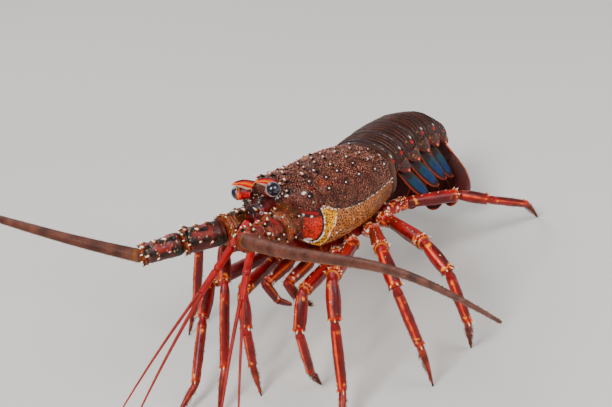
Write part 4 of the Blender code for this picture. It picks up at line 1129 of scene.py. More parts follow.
def antenna_spines(side, k):
    """Spines of one joint: share, angle, radius and length of each."""
    draw = random.Random(40 + k + (10 if side == "left" else 0))
    spines = []
    for share, count in ANTENNA_SPINE_ROWS[side]:
        for j in range(count):
            angle = -30.0 + (j + 0.5 + draw.uniform(-0.2, 0.2)) * 270.0 / count
            size = (0.75 if share > 0.9 else 1.1) * draw.uniform(0.7, 1.15)
            spines.append((share + draw.uniform(-0.03, 0.03), angle, 0.9 * size, 3.2 * size))
    for _ in range(ANTENNA_SMALL_SPINES if k == 0 else ANTENNA_SMALL_SPINES // 3):
        size = draw.uniform(0.3, 0.7)
        spines.append((draw.uniform(0.12, 0.93), draw.uniform(20.0, 280.0), 0.7 * size, 1.6 * size))
    return spines


def antenna_paint(side, k, points, share, around):
    """Mottled brown at the base, crimson beyond it, with pale rims; arcs and streaks on the base; the right one
    darker with painted shade.
    """
    lumps = clouds(points, 5.0, 2.0)
    below = sine(around)
    if k == 0:
        base = coats(
            "361b12",
            ("501812", np.clip(0.5 + lumps, 0, 1)),
            ("5f3c1c", 0.5 * specks(points, 2.6, 44.0, 0.1, 0.4)),
            ("9a1a22", 0.8 * specks(points, 3.4, 47.0, 0.22, 0.4)),
        )
    else:
        base = coats(
            "9c0c1e",
            ("5c0a14", np.clip(0.4 + 0.9 * lumps, 0, 1)),
            ("3a1c10", 0.85 * step(0.34 - share, 0.0, 0.16) + 0.7 * step(-below, -0.3, 0.3)),
        )
    # The right antenna, the far one, is darkened with painted shade: its base more than its outer joints.
    if side == "right":
        base = base * (0.6 if k == 0 else 0.85)
    base = coats(
        base,
        ("8c3c1c", 0.7 * step(share, 0.89, 0.92) + 0.35 * bell(share - 0.84, 0.02)),
        ("d9a066", 0.6 * bell(share - 0.945, 0.008) + 0.4 * bell(share - 0.9, 0.006)),
    )
    if k:
        return base
    arcs = bell(share - 0.74, 0.018) + bell(share - 0.82, 0.014)
    streaks = specks(points * np.array([1.0, 1.0, 0.4]), 1.6, 91.0, 0.12, 0.3)
    return coats(
        base,
        ("b5695a", 0.75 * np.clip(arcs, 0, 1) * step(below, -0.5, 0.1)),
        ("e2572a", 0.8 * bell(share - 0.8, 0.1) * step(-below, -0.1, 0.5)),
        (WHITE, 0.9 * streaks * bell(share - 0.86, 0.06) * step(-below, -0.2, 0.2)),
    )


def build_antenna(side):
    joints = antenna_joints(side)
    for k, kind in enumerate(("base", "middle", "end")):
        name = f"antenna_{side}_{kind}"
        first, last = ANTENNA_RADII[k]
        radii = (first * 0.93, first, (first + last) / 2, last * 1.04, last * 0.94)
        points, out, share, around = limb_skin(
            joints[k], joints[k + 1], radii, sunk=1.2, rows=90, sides=56, rim=0.07, neck=0.84, close=0.06
        )
        relief = 0.25 * clouds(points, 4.0, 7.0 + k) + 0.35 * bell(share - 0.9, 0.02)
        relief = relief - 0.4 * bell(share - 0.84, 0.02)
        base = antenna_paint(side, k, points, share, around)
        ahead, row = joint_rows(joints[k], joints[k + 1], radii, side)
        rows = []
        for place, angle, radius, length in antenna_spines(side, k):
            rows.append(row(place, angle, (radius * 1.15, length + 0.4), 0.85, (angle / 360, place)))
            gap = points - rows[-1][0]
            lengthwise = gap @ ahead
            sideways = np.linalg.norm(gap - lengthwise[..., None] * ahead, axis=-1)
            relief += 0.5 * radius * np.exp(-((lengthwise / 1.4) ** 2) - (sideways / 1.4) ** 2)
            # A near-black oval just behind each long spine's foot is its painted shadow.
            if length > 2.4:
                spot = np.sqrt(((lengthwise + 1.4) / 2.4) ** 2 + (sideways / 1.6) ** 2)
                base = coats(base, ("080405", step(1.15 - spot, 0.0, 0.2)))
        dots = specks(points, 0.9, 60.0 + k, 0.5, 0.6)
        base = coats(base, ("e8c9a8", 0.7 * dots * step(sine(around), -0.9, -0.3)))
        speckle = np.clip(0.35 + 0.5 * clouds(points, 4.0, 66.0), 0.0, 0.9) * (1.0 if k == 0 else 0.25)
        net = np.concatenate([np.broadcast_to(linear("8a5a34"), base.shape), speckle[..., None]], axis=-1)
        shell = cover(f"{name}_shell", [(points + out * relief[..., None], base, net)], ANTENNA_SHELL)
        large = [r for r in rows if r[4] > 2.0]
        small = [r for r in rows if r[4] <= 2.0]
        spikes = grow(f"{name}_spines", large, ANTENNA_SPIKE, sides=8, lengths=6, blunt=0.22, bend=0.3)
        thorns = grow(f"{name}_thorns", small, ANTENNA_THORN, sides=6, lengths=4, blunt=0.1, bend=0.3)
        draw = random.Random(70 + k)
        hairs = []
        for _ in range(ANTENNA_FRINGE_HAIRS):
            place, angle = 0.9 + draw.uniform(-0.02, 0.035), draw.uniform(0.0, 360.0)
            hairs.append(row(place, angle, (0.1, draw.uniform(1.2, 2.6)), 1.5, (angle / 360, place)))
        fringe = grow(f"{name}_fringe", hairs, BRISTLE, bend=0.3, **HAIR_SHAPE)
        fit(name, "antenna_shell", shell, spikes, thorns, fringe)
    build_lash(side, joints[-1])


def ring_swell(count):
    """Four steps to a ring of a whip: 1 on the ring and -1 between two of them."""
    return np.cos((np.arange(count) % 4) / 4.0 * 2 * math.pi)


def build_lash(side, start):
    """The whip: rings of shell that thin out to the tip, with bristles on each ring."""
    path = curve_points(start, FLAGELLUM_ANGLES[side], FLAGELLUM_LENGTH, FLAGELLUM_STEPS)
    path[0] = path[0] - unit(path[1] - path[0]) * 1.5
    count = int(FLAGELLUM_LENGTH / LASH_RING) * 4
    path = finer(path, count)
    steps = np.linspace(0.0, 1.0, count)
    radii = FLAGELLUM_RADII[0] + (FLAGELLUM_RADII[1] - FLAGELLUM_RADII[0]) * steps**0.85
    swell = ring_swell(count)
    radii = radii * (1.0 + 0.055 * swell) * (1 - 0.35 * step(0.006 - steps, 0.0, 0.006))
    points, out, share, around = sweep(path, radii, 16)
    share = np.broadcast_to(steps[:, None], around.shape)
    paint = coats(
        mottled(points, "80564a", "4c2c22", 7.0, 3.0, 0.5, 0.9),
        ("b07c44", 0.75 * step(-sine(around), 0.35, 0.85)),
        ("2c1410", 0.5 * step(swell, -0.2, -0.9)[:, None]),
        ("a06a38", 0.6 * bell(share - 0.012, 0.004)),
    )
    split = int(count * FLAGELLUM_SPLIT)
    draw = random.Random(90)
    for kind, first, last in (("near", 0, split + 1), ("far", split, count)):
        name = f"antenna_{side}_lash_{kind}"
        lash = cover(f"{name}_rings", [(points[first:last], paint[first:last])], LASH_SHELL)
        rows = []
        for k in range(first + 2, last - 2, 2):
            for _ in range(7 if k < count // 3 else 4):
                column = draw.randrange(16)
                ahead = unit(path[k + 1] - path[k])
                foot = points[k, column] - out[k, column] * 0.08
                length = draw.uniform(0.7, 1.7) * (1.0 - 0.55 * k / count)
                rows.append((foot, out[k, column] + ahead * 1.1, ahead, 0.085, length, column / 16, k / count))
        hairs = grow(f"{name}_bristles", rows, BRISTLE, bend=0.25, **HAIR_SHAPE)
        fit(name, "lash", lash, hairs)


def rounded_square(width, power):
    """Across and up of the points of a square with round corners."""
    turn = np.arange(width) * 2 * math.pi / width
    return (np.sign(v) * np.abs(v) ** power for v in (np.cos(turn), np.sin(turn)))


def rounded_box(rows, count, width=64):
    """Skin through rows of distance back, half width, top and underside, rounded off in front.

    Also the shares across and up of each point, the middle line and the share from the rear."""
    rows = np.asarray(sorted(rows), float)
    at = np.linspace(rows[0, 0], rows[-1, 0], count)
    wide, high, low = np.moveaxis(smooth_rows(rows, at), -1, 0)
    x, z = rounded_square(width, 0.6)
    centre, half = (high + low) / 2, (high - low) / 2
    height = centre[:, None] + half[:, None] * z
    points = np.stack(np.broadcast_arrays(wide[:, None] * x, at[:, None], height), axis=-1)
    x, z = (np.broadcast_to(v, points.shape[:2]) for v in (x, z))
    front = np.linspace(1.0, 0.0, count)[:, None] * np.ones_like(x)
    middle = points.mean(axis=1, keepdims=True)
    close = np.sqrt(np.clip(1 - np.clip((front - 0.8) / 0.2, 0, 1) ** 2, 0.02, 1))
    return middle + (points - middle) * close[..., None], x, z, middle, front


def build_plate():
    points, x, z, middle, front = rounded_box(PLATE, 70)
    points = points + unit(points - middle) * (0.3 * clouds(points, 2.5, 12.0))[..., None]
    paint = coats(
        mottled(points, "7c0f1a", "300a0c", 3.0, 15.0, 0.5, 0.9),
        ("c4471a", 0.6 * step(np.abs(x), 0.75, 0.97) * step(z, -0.5, 0.3)),
        (WHITE, specks(points, 1.5, 5.0, 0.52, 0.6) * step(front, 0.2, 0.5)),
    )
    shell = cover("front_plate_shell", [(stand(points), paint)], ANTENNA_SHELL)
    rows = []
    draw = random.Random(33)
    for s in (1.0, -1.0):
        foot = np.array([PLATE_SPINE_ROOT[0] * s, PLATE_SPINE_ROOT[1], PLATE_SPINE_ROOT[2]])
        way, lean = TURN @ np.array([0.15 * s, -1.0, 0.75]), TURN @ np.array([0.0, 0.3, 1.0])
        rows.append((stand(foot) - unit(way) * 0.8, way, lean, 1.25, 5.6, 0.5 + 0.2 * s, 0.8))
        way, lean = TURN @ np.array([0.2 * s, -0.8, 1.0]), TURN @ np.array([0.0, -1.0, 0.0])
        for _ in range(PLATE_THORNS):
            at = draw.uniform(-9.0, 2.0)
            wide, high, _ = smooth_rows(np.asarray(sorted(PLATE), float), at)
            foot = np.array([s * draw.uniform(0.15, 0.75) * wide, at, high - 0.5])
            rows.append((stand(foot), way, lean, 0.5, draw.uniform(1.2, 2.2), 0.5 + 0.3 * s, 0.4))
    spikes = grow("front_plate_spines", rows, ANTENNA_SPIKE, sides=8, lengths=6, blunt=0.05, bend=0.2)
    fit("antennular_plate", "antenna_shell", shell, spikes)


# Thick lime shell over red pigment, wet: deep crimson, fine pits and a soft sheen.
ANTENNA_SHELL = shell_material(
    "wet lime shell, crimson", 0.7, 0.3, 0.36, 0.12, freckle="2a0a0c", freckle_share=0.6, cell_mm=1.1
)
# Horn, dark where it grows and worn to a hard white tip that catches the light.
ANTENNA_SPIKE = spine_material(
    "spine, dark root and white tip",
    ((0.0, "200c0a"), (0.42, "341410"), (0.56, "8c4820"), (0.68, "e8c898"), (0.8, "fdf6ea"), (1.0, "ffffff")),
    variety=0.7,
)
# Thin horn lets light through, so the small thorns end in warm amber.
ANTENNA_THORN = spine_material(
    "small thorn, amber tip",
    ((0.0, "2a100d"), (0.45, "5a2a14"), (0.75, "a8743a"), (1.0, "e6c890")),
    variety=0.5,
)
# Brown horn drawn out to hairs, too fine for a highlight, so it looks matt.
BRISTLE = spine_material("brown horny bristle", ((0.0, "3a1a0d"), (0.6, "6e3c1a"), (1.0, "a87438")), 0.5)
# Thin rings of shell, rough with the roots of bristles: brown and nearly matt.
LASH_SHELL = shell_material("ringed lash shell, brown", 0.5, 0.15, 0.5, 0.05)
build_plate()
for antenna_side in ("left", "right"):
    build_antenna(antenna_side)

# Antennules: a thin stalk of three shell joints each side, hinged between the antennae, that ends
# in two soft ringed feelers with which the animal smells.
ANTENNULE_ROOT = (3.4, -11.5, -16.5)
ANTENNULE_LENGTH = 42.0
ANTENNULE_RADII = (2.3, 1.6)
FEELER_LENGTH = 72.0
FEELER_RADII = (1.2, 0.4)
FEELER_SPREAD = 5.0
ANTENNULE_ANGLES = {
    "left": ((8, -25), (14, -32), (8, -50)),
    "right": ((-10, -20), (-14, -24), (-14, -32)),
}


def build_antennule(side):
    x, y, z = ANTENNULE_ROOT
    start = stand((x * side_sign(side), y, z))
    angles = ANTENNULE_ANGLES[side]
    stalk_path = curve_points(start, angles[:2], ANTENNULE_LENGTH, 6)
    count = 110
    steps = np.linspace(0.0, 1.0, count)
    radii = np.interp(steps, (0.0, 1.0), ANTENNULE_RADII)
    for joint in (0.36, 0.68):
        radii = radii * (1 - 0.3 * bell(steps - joint, 0.012) + 0.1 * bell(steps - joint + 0.045, 0.03))
    radii = radii * np.sqrt(np.clip(1 - step(steps, 0.97, 1.01), 0.1, 1.0))
    points, _, share, around = sweep(finer(stalk_path, count), radii, 20)
    below = sine(around)
    paint = coats(
        mottled(points, "8c0c00", "b42400", 4.0, 3.0),
        ("6a1410", 0.7 * bell(share - 0.36, 0.012) + 0.7 * bell(share - 0.68, 0.012)),
        ("c85a14", 0.6 * step(-below, 0.4, 0.9)),
    )
    stalk = cover(f"antennule_{side}_stalk_shell", [(points, paint)], FEELER_SHELL)
    pieces = [(stalk, "stalk")]
    outwards = -np.cross(heading(*angles[1]), (0.0, 0.0, 1.0)) * side_sign(side)
    for kind, way, scale in (("outer", 1.0, 0.75), ("inner", -1.0, 0.85)):
        turned = [(yaw + FEELER_SPREAD * way * side_sign(side), rise) for yaw, rise in angles[1:]]
        path = curve_points(stalk_path[-1] + outwards * way, turned, FEELER_LENGTH, 9)
        count = 300
        steps = np.linspace(0.0, 1.0, count)
        radii = np.interp(steps, (0.0, 1.0), FEELER_RADII) * scale
        swell = ring_swell(count)
        radii = radii * (1.0 + 0.05 * swell)
        points, _, share, around = sweep(finer(path, count), radii, 12)
        paint = coats(
            mottled(points, "780a00", "941a00", 5.0, 13.0),
            ("c8642a", 0.5 * step(swell, 0.5, 1.0)[:, None]),
        )
        feeler = cover(f"antennule_{side}_{kind}_feeler", [(points, paint)], FEELER_SHELL)
        pieces.append((feeler, kind))
    for piece, kind in pieces:
        fit(f"antennule_{side}_{kind}", "feeler", piece)


# Thin bendable shell with little lime: an even dark orange-red, softly shining.
FEELER_SHELL = shell_material("thin feeler shell, orange-red", 0.4, 0.1, 0.4, 0.06, freckle="8a1f10")
for feeler_side in ("left", "right"):
    build_antennule(feeler_side)


# Mouth: a box of hard lips between the antennae and the breastplate, with two white jaws, and
# below it a pair of outer mouth legs, three joints each, with a dense brush on the inner side.
MOUTH = ((22.0, 10.0, -30.0, -46.0), (10.0, 10.0, -28.0, -44.0), (-2.0, 7.5, -26.0, -36.0))
MAXILLIPED_JOINTS = ((6.5, 15.0, -47.0), (7.0, -8.0, -50.0), (6.5, -3.0, -61.0), (5.5, 5.0, -67.0))
MAXILLIPED_RADII = ((3.2, 3.1, 2.4), (2.3, 2.4, 1.9), (1.9, 1.6, 0.8))
BRUSH_HAIRS = 260


def build_mouth():
    points, x, z, middle, front = rounded_box(MOUTH, 80, 72)
    points = points + unit(points - middle) * (0.5 * clouds(points, 3.0, 22.0) - 0.9 * bell(x, 0.08))[..., None]
    paint = coats(
        mottled(points, "96380f", "501410", 4.0, 25.0),
        ("f2e6cf", bell(np.abs(x) - 0.3, 0.2) * step(-z, 0.2, 0.6) * step(front, 0.3, 0.5)),
        ("4a1510", 0.8 * bell(x, 0.06)),
    )
    fit("mouth", "mouthpart", cover("mouth_lips", [(stand(points), paint)], MOUTH_SHELL))


def build_maxilliped(side):
    s = side_sign(side)
    joints = [stand((x * s, at, z)) for x, at, z in MAXILLIPED_JOINTS]
    skins, hairs = [], []
    draw = random.Random(120)
    for k, radii in enumerate(MAXILLIPED_RADII):
        sunk = LIMB_SUNK if k else 0.0
        points, _, share, around = limb_skin(joints[k], joints[k + 1], radii, sunk=sunk, sides=28, close=0.1)
        paint = coats(
            mottled(points, "861409", "451210", 4.0, 7.0, 0.5, 0.9),
            ("e07a10", 0.9 * bell(sine(around) - 0.45, 0.16) + 0.6 * bell(share - 0.9, 0.03)),
            (WHITE, specks(points, 1.6, 93.0, 0.36, 0.44) * step(share, 0.6, 0.8)),
        )
        skins.append((points, paint))
        _, row = joint_rows(joints[k], joints[k + 1], radii, side)
        for _ in range(BRUSH_HAIRS):
            place = draw.uniform(0.15, 1.0)
            angle = draw.choice((0.0, 180.0 if k == 0 else 20.0)) + draw.uniform(-35.0, 35.0)
            root = ((k + place) / 3, angle / 720 + 0.5)
            hairs.append(row(place, angle, (0.08, draw.uniform(1.4, 3.2)), 0.7, root))
    limb = cover(f"maxilliped_{side}_shell", skins, MOUTH_SHELL)
    brush = grow(f"maxilliped_{side}_brush", hairs, BRISTLE, bend=0.3, **HAIR_SHAPE)
    fit(f"maxilliped_{side}", "mouthpart", limb, brush)


# Hard lime shell, ivory where it bites: orange and white, moist.
MOUTH_SHELL = shell_material("mouth shell, orange and ivory", 0.5, 0.2, 0.35, 0.15, "8a1f10", 0.4)
build_mouth()
for mouth_side in ("left", "right"):
    build_maxilliped(mouth_side)

# Breastplate: one shield of fused lime plates under the body, with a seam between each two pairs
# of legs and the hips hinged along its edges.
# Distance back, half width and underside of the plate, then the middle of each left hip joint.
STERNUM = (
    (12.0, 6.5, -43.0), (18.0, 9.0, -47.0), (26.0, 11.0, -49.5), (37.0, 13.0, -50.5),
    (48.0, 16.0, -49.5), (58.5, 18.5, -47.0), (68.0, 19.5, -44.0), (76.0, 17.0, -39.0),
)
HIPS = ((12.8, 26.0, -48.0), (14.7, 38.5, -46.8), (19.5, 50.3, -45.2), (21.8, 60.0, -43.0), (22.2, 70.0, -41.2))


def build_sternum():
    rows = np.asarray(STERNUM, float)
    count = 140
    at = np.linspace(rows[0, 0], rows[-1, 0], count)
    wide, low = np.moveaxis(smooth_rows(rows, at), -1, 0)
    top = smooth_rows(CARAPACE, at)[:, 4] + 4.0
    x, z = rounded_square(72, 0.55)
    half, middle = (top - low) / 2, (top + low) / 2
    seams = sum(bell(at - (a[1] + b[1]) / 2, 0.9) for a, b in zip(HIPS[:-1], HIPS[1:]))
    depth = 0.9 * seams[:, None] * step(-z, 0.2, 0.7)[None] * step(np.abs(x), 0.1, 0.4)[None]
    height = middle[:, None] + half[:, None] * z + depth
    points = np.stack(np.broadcast_arrays(wide[:, None] * x, at[:, None], height), axis=-1)
    x = np.broadcast_to(x, points.shape[:2])
    paint = coats(
        mottled(points, "a04a22", "6a1e14", 6.0, 2.0),
        ("e6c08a", 0.8 * specks(points, 2.0, 8.0, 0.3, 0.4)),
        ("5f1d14", 0.6 * seams[:, None] * np.ones_like(x)),
        ("8c2a1a", 0.5 * step(np.abs(x), 0.75, 1.0)),
    )
    # Thick shell on the sheltered side, with little pigment: pale orange with red freckles.
    shell = shell_material(
        "breastplate shell, pale orange", 0.8, 0.3, 0.45, 0.1, freckle="a33a20", freckle_share=0.6
    )
    plate = cover("breastplate", [(stand(points), paint)], shell)
    fit("sternum", "underside", plate)


build_sternum()

# Walking legs: five pairs without claws. Each has a hip joint, a long thigh with spines at the
# knee, a short shin, a long hand and a hairy pointed toe that stands on the floor.
LEG_LENGTHS = (
    (11.0, 34.0, 19.5, 17.0), (12.0, 42.0, 21.0, 23.0), (12.0, 44.0, 20.5, 23.5),
    (12.0, 38.0, 19.0, 20.5), (11.0, 32.0, 18.0, 17.0),
)
# Heading and rise of each length of each leg; a heading of 0 looks ahead, 90 to the left.
LEG_ANGLES = {
    "left": (
        ((43, 19), (1, 4), (-7, -59), (-129, -82), (-159, -58)),
        ((41, 21), (18, 11), (16, -54), (9, -69), (18, -39)),
        ((49, 21), (37, 17), (41, -37), (82, -81), (100, -87)),
        ((55, 19), (56, 3), (62, -35), (64, -78), (-137, -71)),
        ((163, -12), (142, -16), (137, -31), (155, -33), (176, -57)),
    ),
    "right": (
        ((-42, 9), (6, 7), (20, -57), (-57, -82), (21, -81)),
        ((-60, 4), (-41, -5), (12, -29), (8, -44), (-11, -27)),
        ((-42, 17), (-14, 24), (25, -35), (5, -58), (0, -50)),
        ((-70, 10), (-48, 20), (-50, -28), (-56, -70), (-40, -60)),
        ((-160, -8), (-142, -14), (-137, -30), (-150, -32), (-170, -50)),
    ),
}
LEG_RADII = (4.1, 3.1, 3.9, 3.6, 2.6, 1.9, 0.45)
OUTER_LEG_SCALE = 0.92
HIP_SUNK = 6.0
FOOT_FLAT = 0.35
# Large spines of each length: share along and angle around.
LEG_SPINES = {
    "thigh": (
        (0.12, 90), (0.27, 80), (0.43, 88), (0.58, 82), (0.73, 86),
        (0.9, 35), (0.91, 80), (0.9, 120), (0.88, 165),
    ),
    "shin": ((0.2, 85), (0.5, 90), (0.9, 60), (0.9, 110), (0.88, 160)),
    "hand": ((0.93, 60), (0.93, 120)),
}
LEG_BUMPS = {"hip": 26, "thigh": 16}
# Hairs: how many, between which shares and of what length; thigh and shin are as the hip.
LEG_HAIRS = {
    "hip": (60, (0.87, 0.95), (0.8, 1.7)),
    "hand": (170, (0.35, 0.97), (0.7, 1.6)),
    "toe": (420, (0.08, 0.86), (1.2, 2.3)),
}
# Where the stripe runs on the shin and hand of each leg, in degrees from the front, over the top.
LEG_STRIPES = {
    "left": ((84, -140), (84, 92), (68, 36), (60, 56), (20, 12)),
    "right": ((104, 32), (108, 108), (108, 100), (60, 40), (42, 42)),
}
DUSK_FROM_STRIPE = 46.0


def leg_joints(side, number):
    """Hip, four joints and toe of one leg; the toe is set down on the floor."""
    x, y, z = HIPS[number]
    joints = [stand((x * side_sign(side), y, z))]
    lengths = LEG_LENGTHS[number]
    angles = LEG_ANGLES[side][number]
    for length, (yaw, rise) in zip(lengths[:3], angles[:3]):
        joints.append(joints[-1] + heading(yaw, rise) * length)
    hand = heading(*angles[3])
    claw = heading(*angles[4]) * lengths[3]
    reach = (joints[-1][2] + claw[2] - FOOT_FLAT) / -hand[2]
    joints.append(joints[-1] + hand * reach)
    joints.append(joints[-1] + claw)
    return joints


def leg_paint(points, share, around, kind, side, number):
    """Crimson with a purple face beside a narrow orange stripe; spotted hips."""
    high = sine(around)
    turned = around if side == "left" else 180.0 - around
    stripe = LEG_STRIPES[side][number][1 if kind == "hand" else 0]
    front = cosine(turned - stripe)
    lumps = clouds(points, 6.0, 17.0)
    paint = coats("9e0a0f", ("6c0810", np.clip(0.4 + 0.8 * lumps, 0, 1)))
    dusk = cosine(turned - stripe - DUSK_FROM_STRIPE * side_sign(side)) + 0.15 * clouds(points, 3.0, 23.0)
    if kind == "thigh":
        paint = coats(paint, ("480d12", 0.75 * step(cosine(turned + 20.0), 0.2, 0.9)))
    else:
        shade = 0.4 if kind == "hand" else 0.7
        shade = shade * step(dusk, 0.78, 0.95) * step(share, 0.12, 0.3) * step(0.9 - share, 0, 0.1)
        paint = coats(paint, ("360a20", shade))
    core = front + 0.02 * clouds(points, 4.0, 5.0)
    reach = step(share, 0.1, 0.16) * step(0.97 - share, 0.0, 0.05)
    if kind in ("shin", "hand"):
        paint = coats(
            paint,
            ("b02000", 0.8 * step(core, 0.95, 0.985) * reach),
            ("e07400", step(core, 0.984, 0.994) * reach),
        )
    elif kind == "thigh":
        edges = bell(cosine(turned + 62.0) - 0.97, 0.03) + bell(cosine(turned - 120.0) - 0.97, 0.03)
        paint = coats(paint, ("c8480c", 0.7 * np.clip(edges, 0, 1) * reach))
    rims = {"thigh": 0.9, "shin": 0.35, "hand": 0.3, "hip": 0.5}[kind]
    paint = coats(
        paint,
        ("d86c0c", rims * bell(share - 0.915, 0.018)),
        ("eeb050", 0.7 * rims * bell(share - 0.965, 0.008)),
        ("4a0a12", 0.7 * bell(share - 0.94, 0.006) + 0.5 * bell(share - 0.11, 0.02)),
    )
    if kind == "hip":
        paint = coats(
            paint,
            ("e07f10", 0.9 * specks(points, 2.0, 30.0, 0.18, 0.26)),
            (WHITE, specks(points, 1.7, 40.0, 0.38, 0.44)),
        )
    else:
        near_joint = bell(share - 0.2, 0.05) + bell(share - 0.86, 0.05)
        flecks = near_joint.clip(0, 1) * specks(points, 1.8, 50.0, 0.25, 0.36) * step(high, -0.4, 0.1)
        paint = coats(paint, ("f4a83a", flecks))
    return paint


def toe_skin(palm, toe, radii):
    """Pointed last joint, set down on a small flat."""
    ahead = unit(toe - palm)
    start = palm - ahead * LIMB_SUNK
    share = np.linspace(0.0, 1.0, 60)
    root, _, tip = radii
    radius = np.interp(share, (0.0, 0.08, 0.35, 0.75, 1.0), (root * 0.8, root, root * 0.85, root * 0.42, tip))
    path = start + (toe - start) * share[:, None]
    bow = np.array([0.0, 0.0, 1.0]) - ahead * ahead[2]
    path = path + unit(bow) * (0.5 * np.sin(math.pi * share))[:, None]
    points, out, share, around = sweep(path, radius, 20)
    points[..., 2] = np.maximum(points[..., 2], 0.0)
    return points, out, share, around


def build_leg(side, number):
    hip, ankle, knee, wrist, palm, toe = leg_joints(side, number)
    scale = OUTER_LEG_SCALE if number in (0, 4) else 1.0
    root, thigh, knee_wide, wrist_wide, palm_wide, toe_wide, tip = [r * scale for r in LEG_RADII]
    # Ends, radii, depth in the joint before, length of the rounded end and height of the rim.
    lengths = {
        "hip": (hip, ankle, (root, root, root * 0.9), HIP_SUNK, 0.05, 0.06),
        "thigh": (ankle, knee, (thigh, thigh * 1.12, knee_wide, knee_wide * 0.9), LIMB_SUNK, 0.07, 0.07),
        "shin": (knee, wrist, (thigh * 0.82, wrist_wide, wrist_wide * 0.86), LIMB_SUNK, 0.09, 0.02),
        "hand": (wrist, palm, (palm_wide * 0.95, palm_wide, palm_wide * 0.86), LIMB_SUNK, 0.05, 0.03),
    }
    draw = random.Random(200 + number + (10 if side == "left" else 0))
    for half, kinds in (("upper", ("hip", "thigh")), ("lower", ("shin", "hand", "toe"))):
        skins, spikes, hairs = [], [], []
        for order, kind in enumerate(kinds):
            if kind == "toe":
                points, out, share, around = toe_skin(palm, toe, (toe_wide, toe_wide * 0.7, tip))
                paint = coats(
                    "a84c08",
                    ("6f260c", np.clip(0.5 + clouds(points, 4.0, 3.0), 0, 1)),
                    ("2e1209", step(share, 0.86, 0.97)),
                )
                first, last, radii = palm, toe, (toe_wide, toe_wide * 0.85, toe_wide * 0.4, tip)
            else:
                first, last, radii, sunk, close, rim = lengths[kind]
                points, out, share, around = limb_skin(
                    first, last, radii, sunk=sunk, sides=40, close=close, rim=rim, rows=80
                )
                paint = leg_paint(points, share, around, kind, side, number)
                relief = 0.16 * clouds(points, 3.5, 21.0)
                relief = relief - 0.22 * bell(sine(around) - 0.05, 0.12) * step(share, 0.1, 0.2)
                points = points + out * relief[..., None]
            skins.append((points, paint))
            _, row = joint_rows(first, last, radii, side)
            for place, angle in LEG_SPINES.get(kind, ()):
                wide, tall = (0.78, 2.9) if place > 0.85 else (0.5, 1.5)
                turned = angle + draw.uniform(-8.0, 8.0)
                plan = ((order + place) / 3, angle / 360)
                spikes.append(row(place, turned, (wide * scale, tall * scale), 0.9, plan, 0.5))
            for _ in range(LEG_BUMPS.get(kind, 0)):
                place = draw.uniform(0.35, 0.9) if kind == "hip" else draw.uniform(0.88, 0.95)
                angle = draw.uniform(0.0, 180.0)
                size = (draw.uniform(0.3, 0.55), draw.uniform(0.6, 1.1))
                spikes.append(row(place, angle, size, 0.5, ((order + place) / 3, angle / 360), 0.2))
            count, where, tall = LEG_HAIRS.get(kind, LEG_HAIRS["hip"])
            for _ in range(count):
                place, angle = draw.uniform(*where), draw.uniform(0.0, 360.0)
                size = (0.09, draw.uniform(*tall) * (1.0 - 0.4 * place if kind == "toe" else 1.0))
                hairs.append(row(place, angle, size, 1.1, ((order + place) / 3, angle / 360), 0.1))
        name = f"leg_{side}_{number + 1}_{half}"
        pieces = [cover(f"{name}_shell", skins, LEG_SHELL)]
        pieces.append(grow(f"{name}_bristles", hairs, BRISTLE, bend=0.25, **HAIR_SHAPE))
        if spikes:
            pieces.append(grow(f"{name}_spines", spikes, LEG_SPIKE, sides=7, lengths=5, blunt=0.06, bend=0.3))
        fit(name, "leg", *pieces)


# Smooth lime shell over crimson pigment, wet: strong red with long soft highlights.
LEG_SHELL = shell_material("wet lime shell, leg crimson", 0.6, 0.2, 0.3, 0.14, "4a0612", 0.4)
# Horn with less pigment towards the end: orange at the root, clear ivory at the tip.
LEG_SPIKE = spine_material(
    "leg spine, orange root and ivory tip",
    ((0.0, "9c2406"), (0.35, "d86c00"), (0.58, "eeb040"), (0.76, "fdf1da"), (1.0, "ffffff")),
    variety=0.8,
)
for leg_side in ("left", "right"):
    for leg_number in range(5):
        build_leg(leg_side, leg_number)

# Abdomen: six hinged rings of shell that slide into one another, each with a hairy groove
# across it, a pointed flap at either side, and on four of them a pair of leaf-shaped swimmerets.
RING_LENGTHS = (5.4, 13.2, 14.2, 14.4, 14.0, 14.5)
RING_PITCHES = (-4.0, -9.0, -8.0, -2.0, 8.0, 24.0)
RING_HALF_WIDTHS = (23.4, 23.4, 22.6, 21.3, 19.9, 18.3, 15.5)
RING_HEIGHTS = (19.2, 19.6, 19.0, 18.0, 17.0, 15.6, 13.0)
RING_START = (79.0, -24.8)
RING_GAP = 0.3
RING_BELLY = 3.2
PLEURON_DROPS = (0.0, 6.5, 6.5, 6.5, 6.0, 3.5)
RING_GROOVES = (0.3, 0.5, 0.72)
# Spots at either side: angle around, share along, radius and colour.
RING_SPOTS = (
    (77.0, 0.74, 1.1, "c02806"),
    (69.0, 0.82, 0.95, "f6efe2"),
    (66.0, 0.84, 0.4, "c99a78"),
    (52.0, 0.86, 0.35, "b98a68"),
    (38.0, 0.86, 0.35, "a87858"),
    (70.0, 0.4, 0.4, "c99a78"),
    (88.0, 0.25, 0.5, "e8962c"),
    (94.0, 0.45, 0.5, "e8962c"),
)
SWIMMERET_LENGTH = 24.5
SWIMMERET_WIDTH = 9.8
SWIMMERET_THICKNESS = 0.9
SWIMMERET_HAIRS = 260
GROOVE_HAIRS = 420
LEFTWARDS = (1.0, 0.0, 0.0)


def ring_frames():
    """Joint centres and directions of the abdomen, in the body frame."""
    centres = [np.array([0.0, RING_START[0] + RING_GAP, RING_START[1]])]
    ahead = []
    for length, pitch in zip(RING_LENGTHS, RING_PITCHES):
        p = math.radians(pitch)
        ahead.append(np.array([0.0, math.cos(p), -math.sin(p)]))
        centres.append(centres[-1] + ahead[-1] * length)
    return centres, ahead


RING_CENTRES, RING_WAYS = ring_frames()


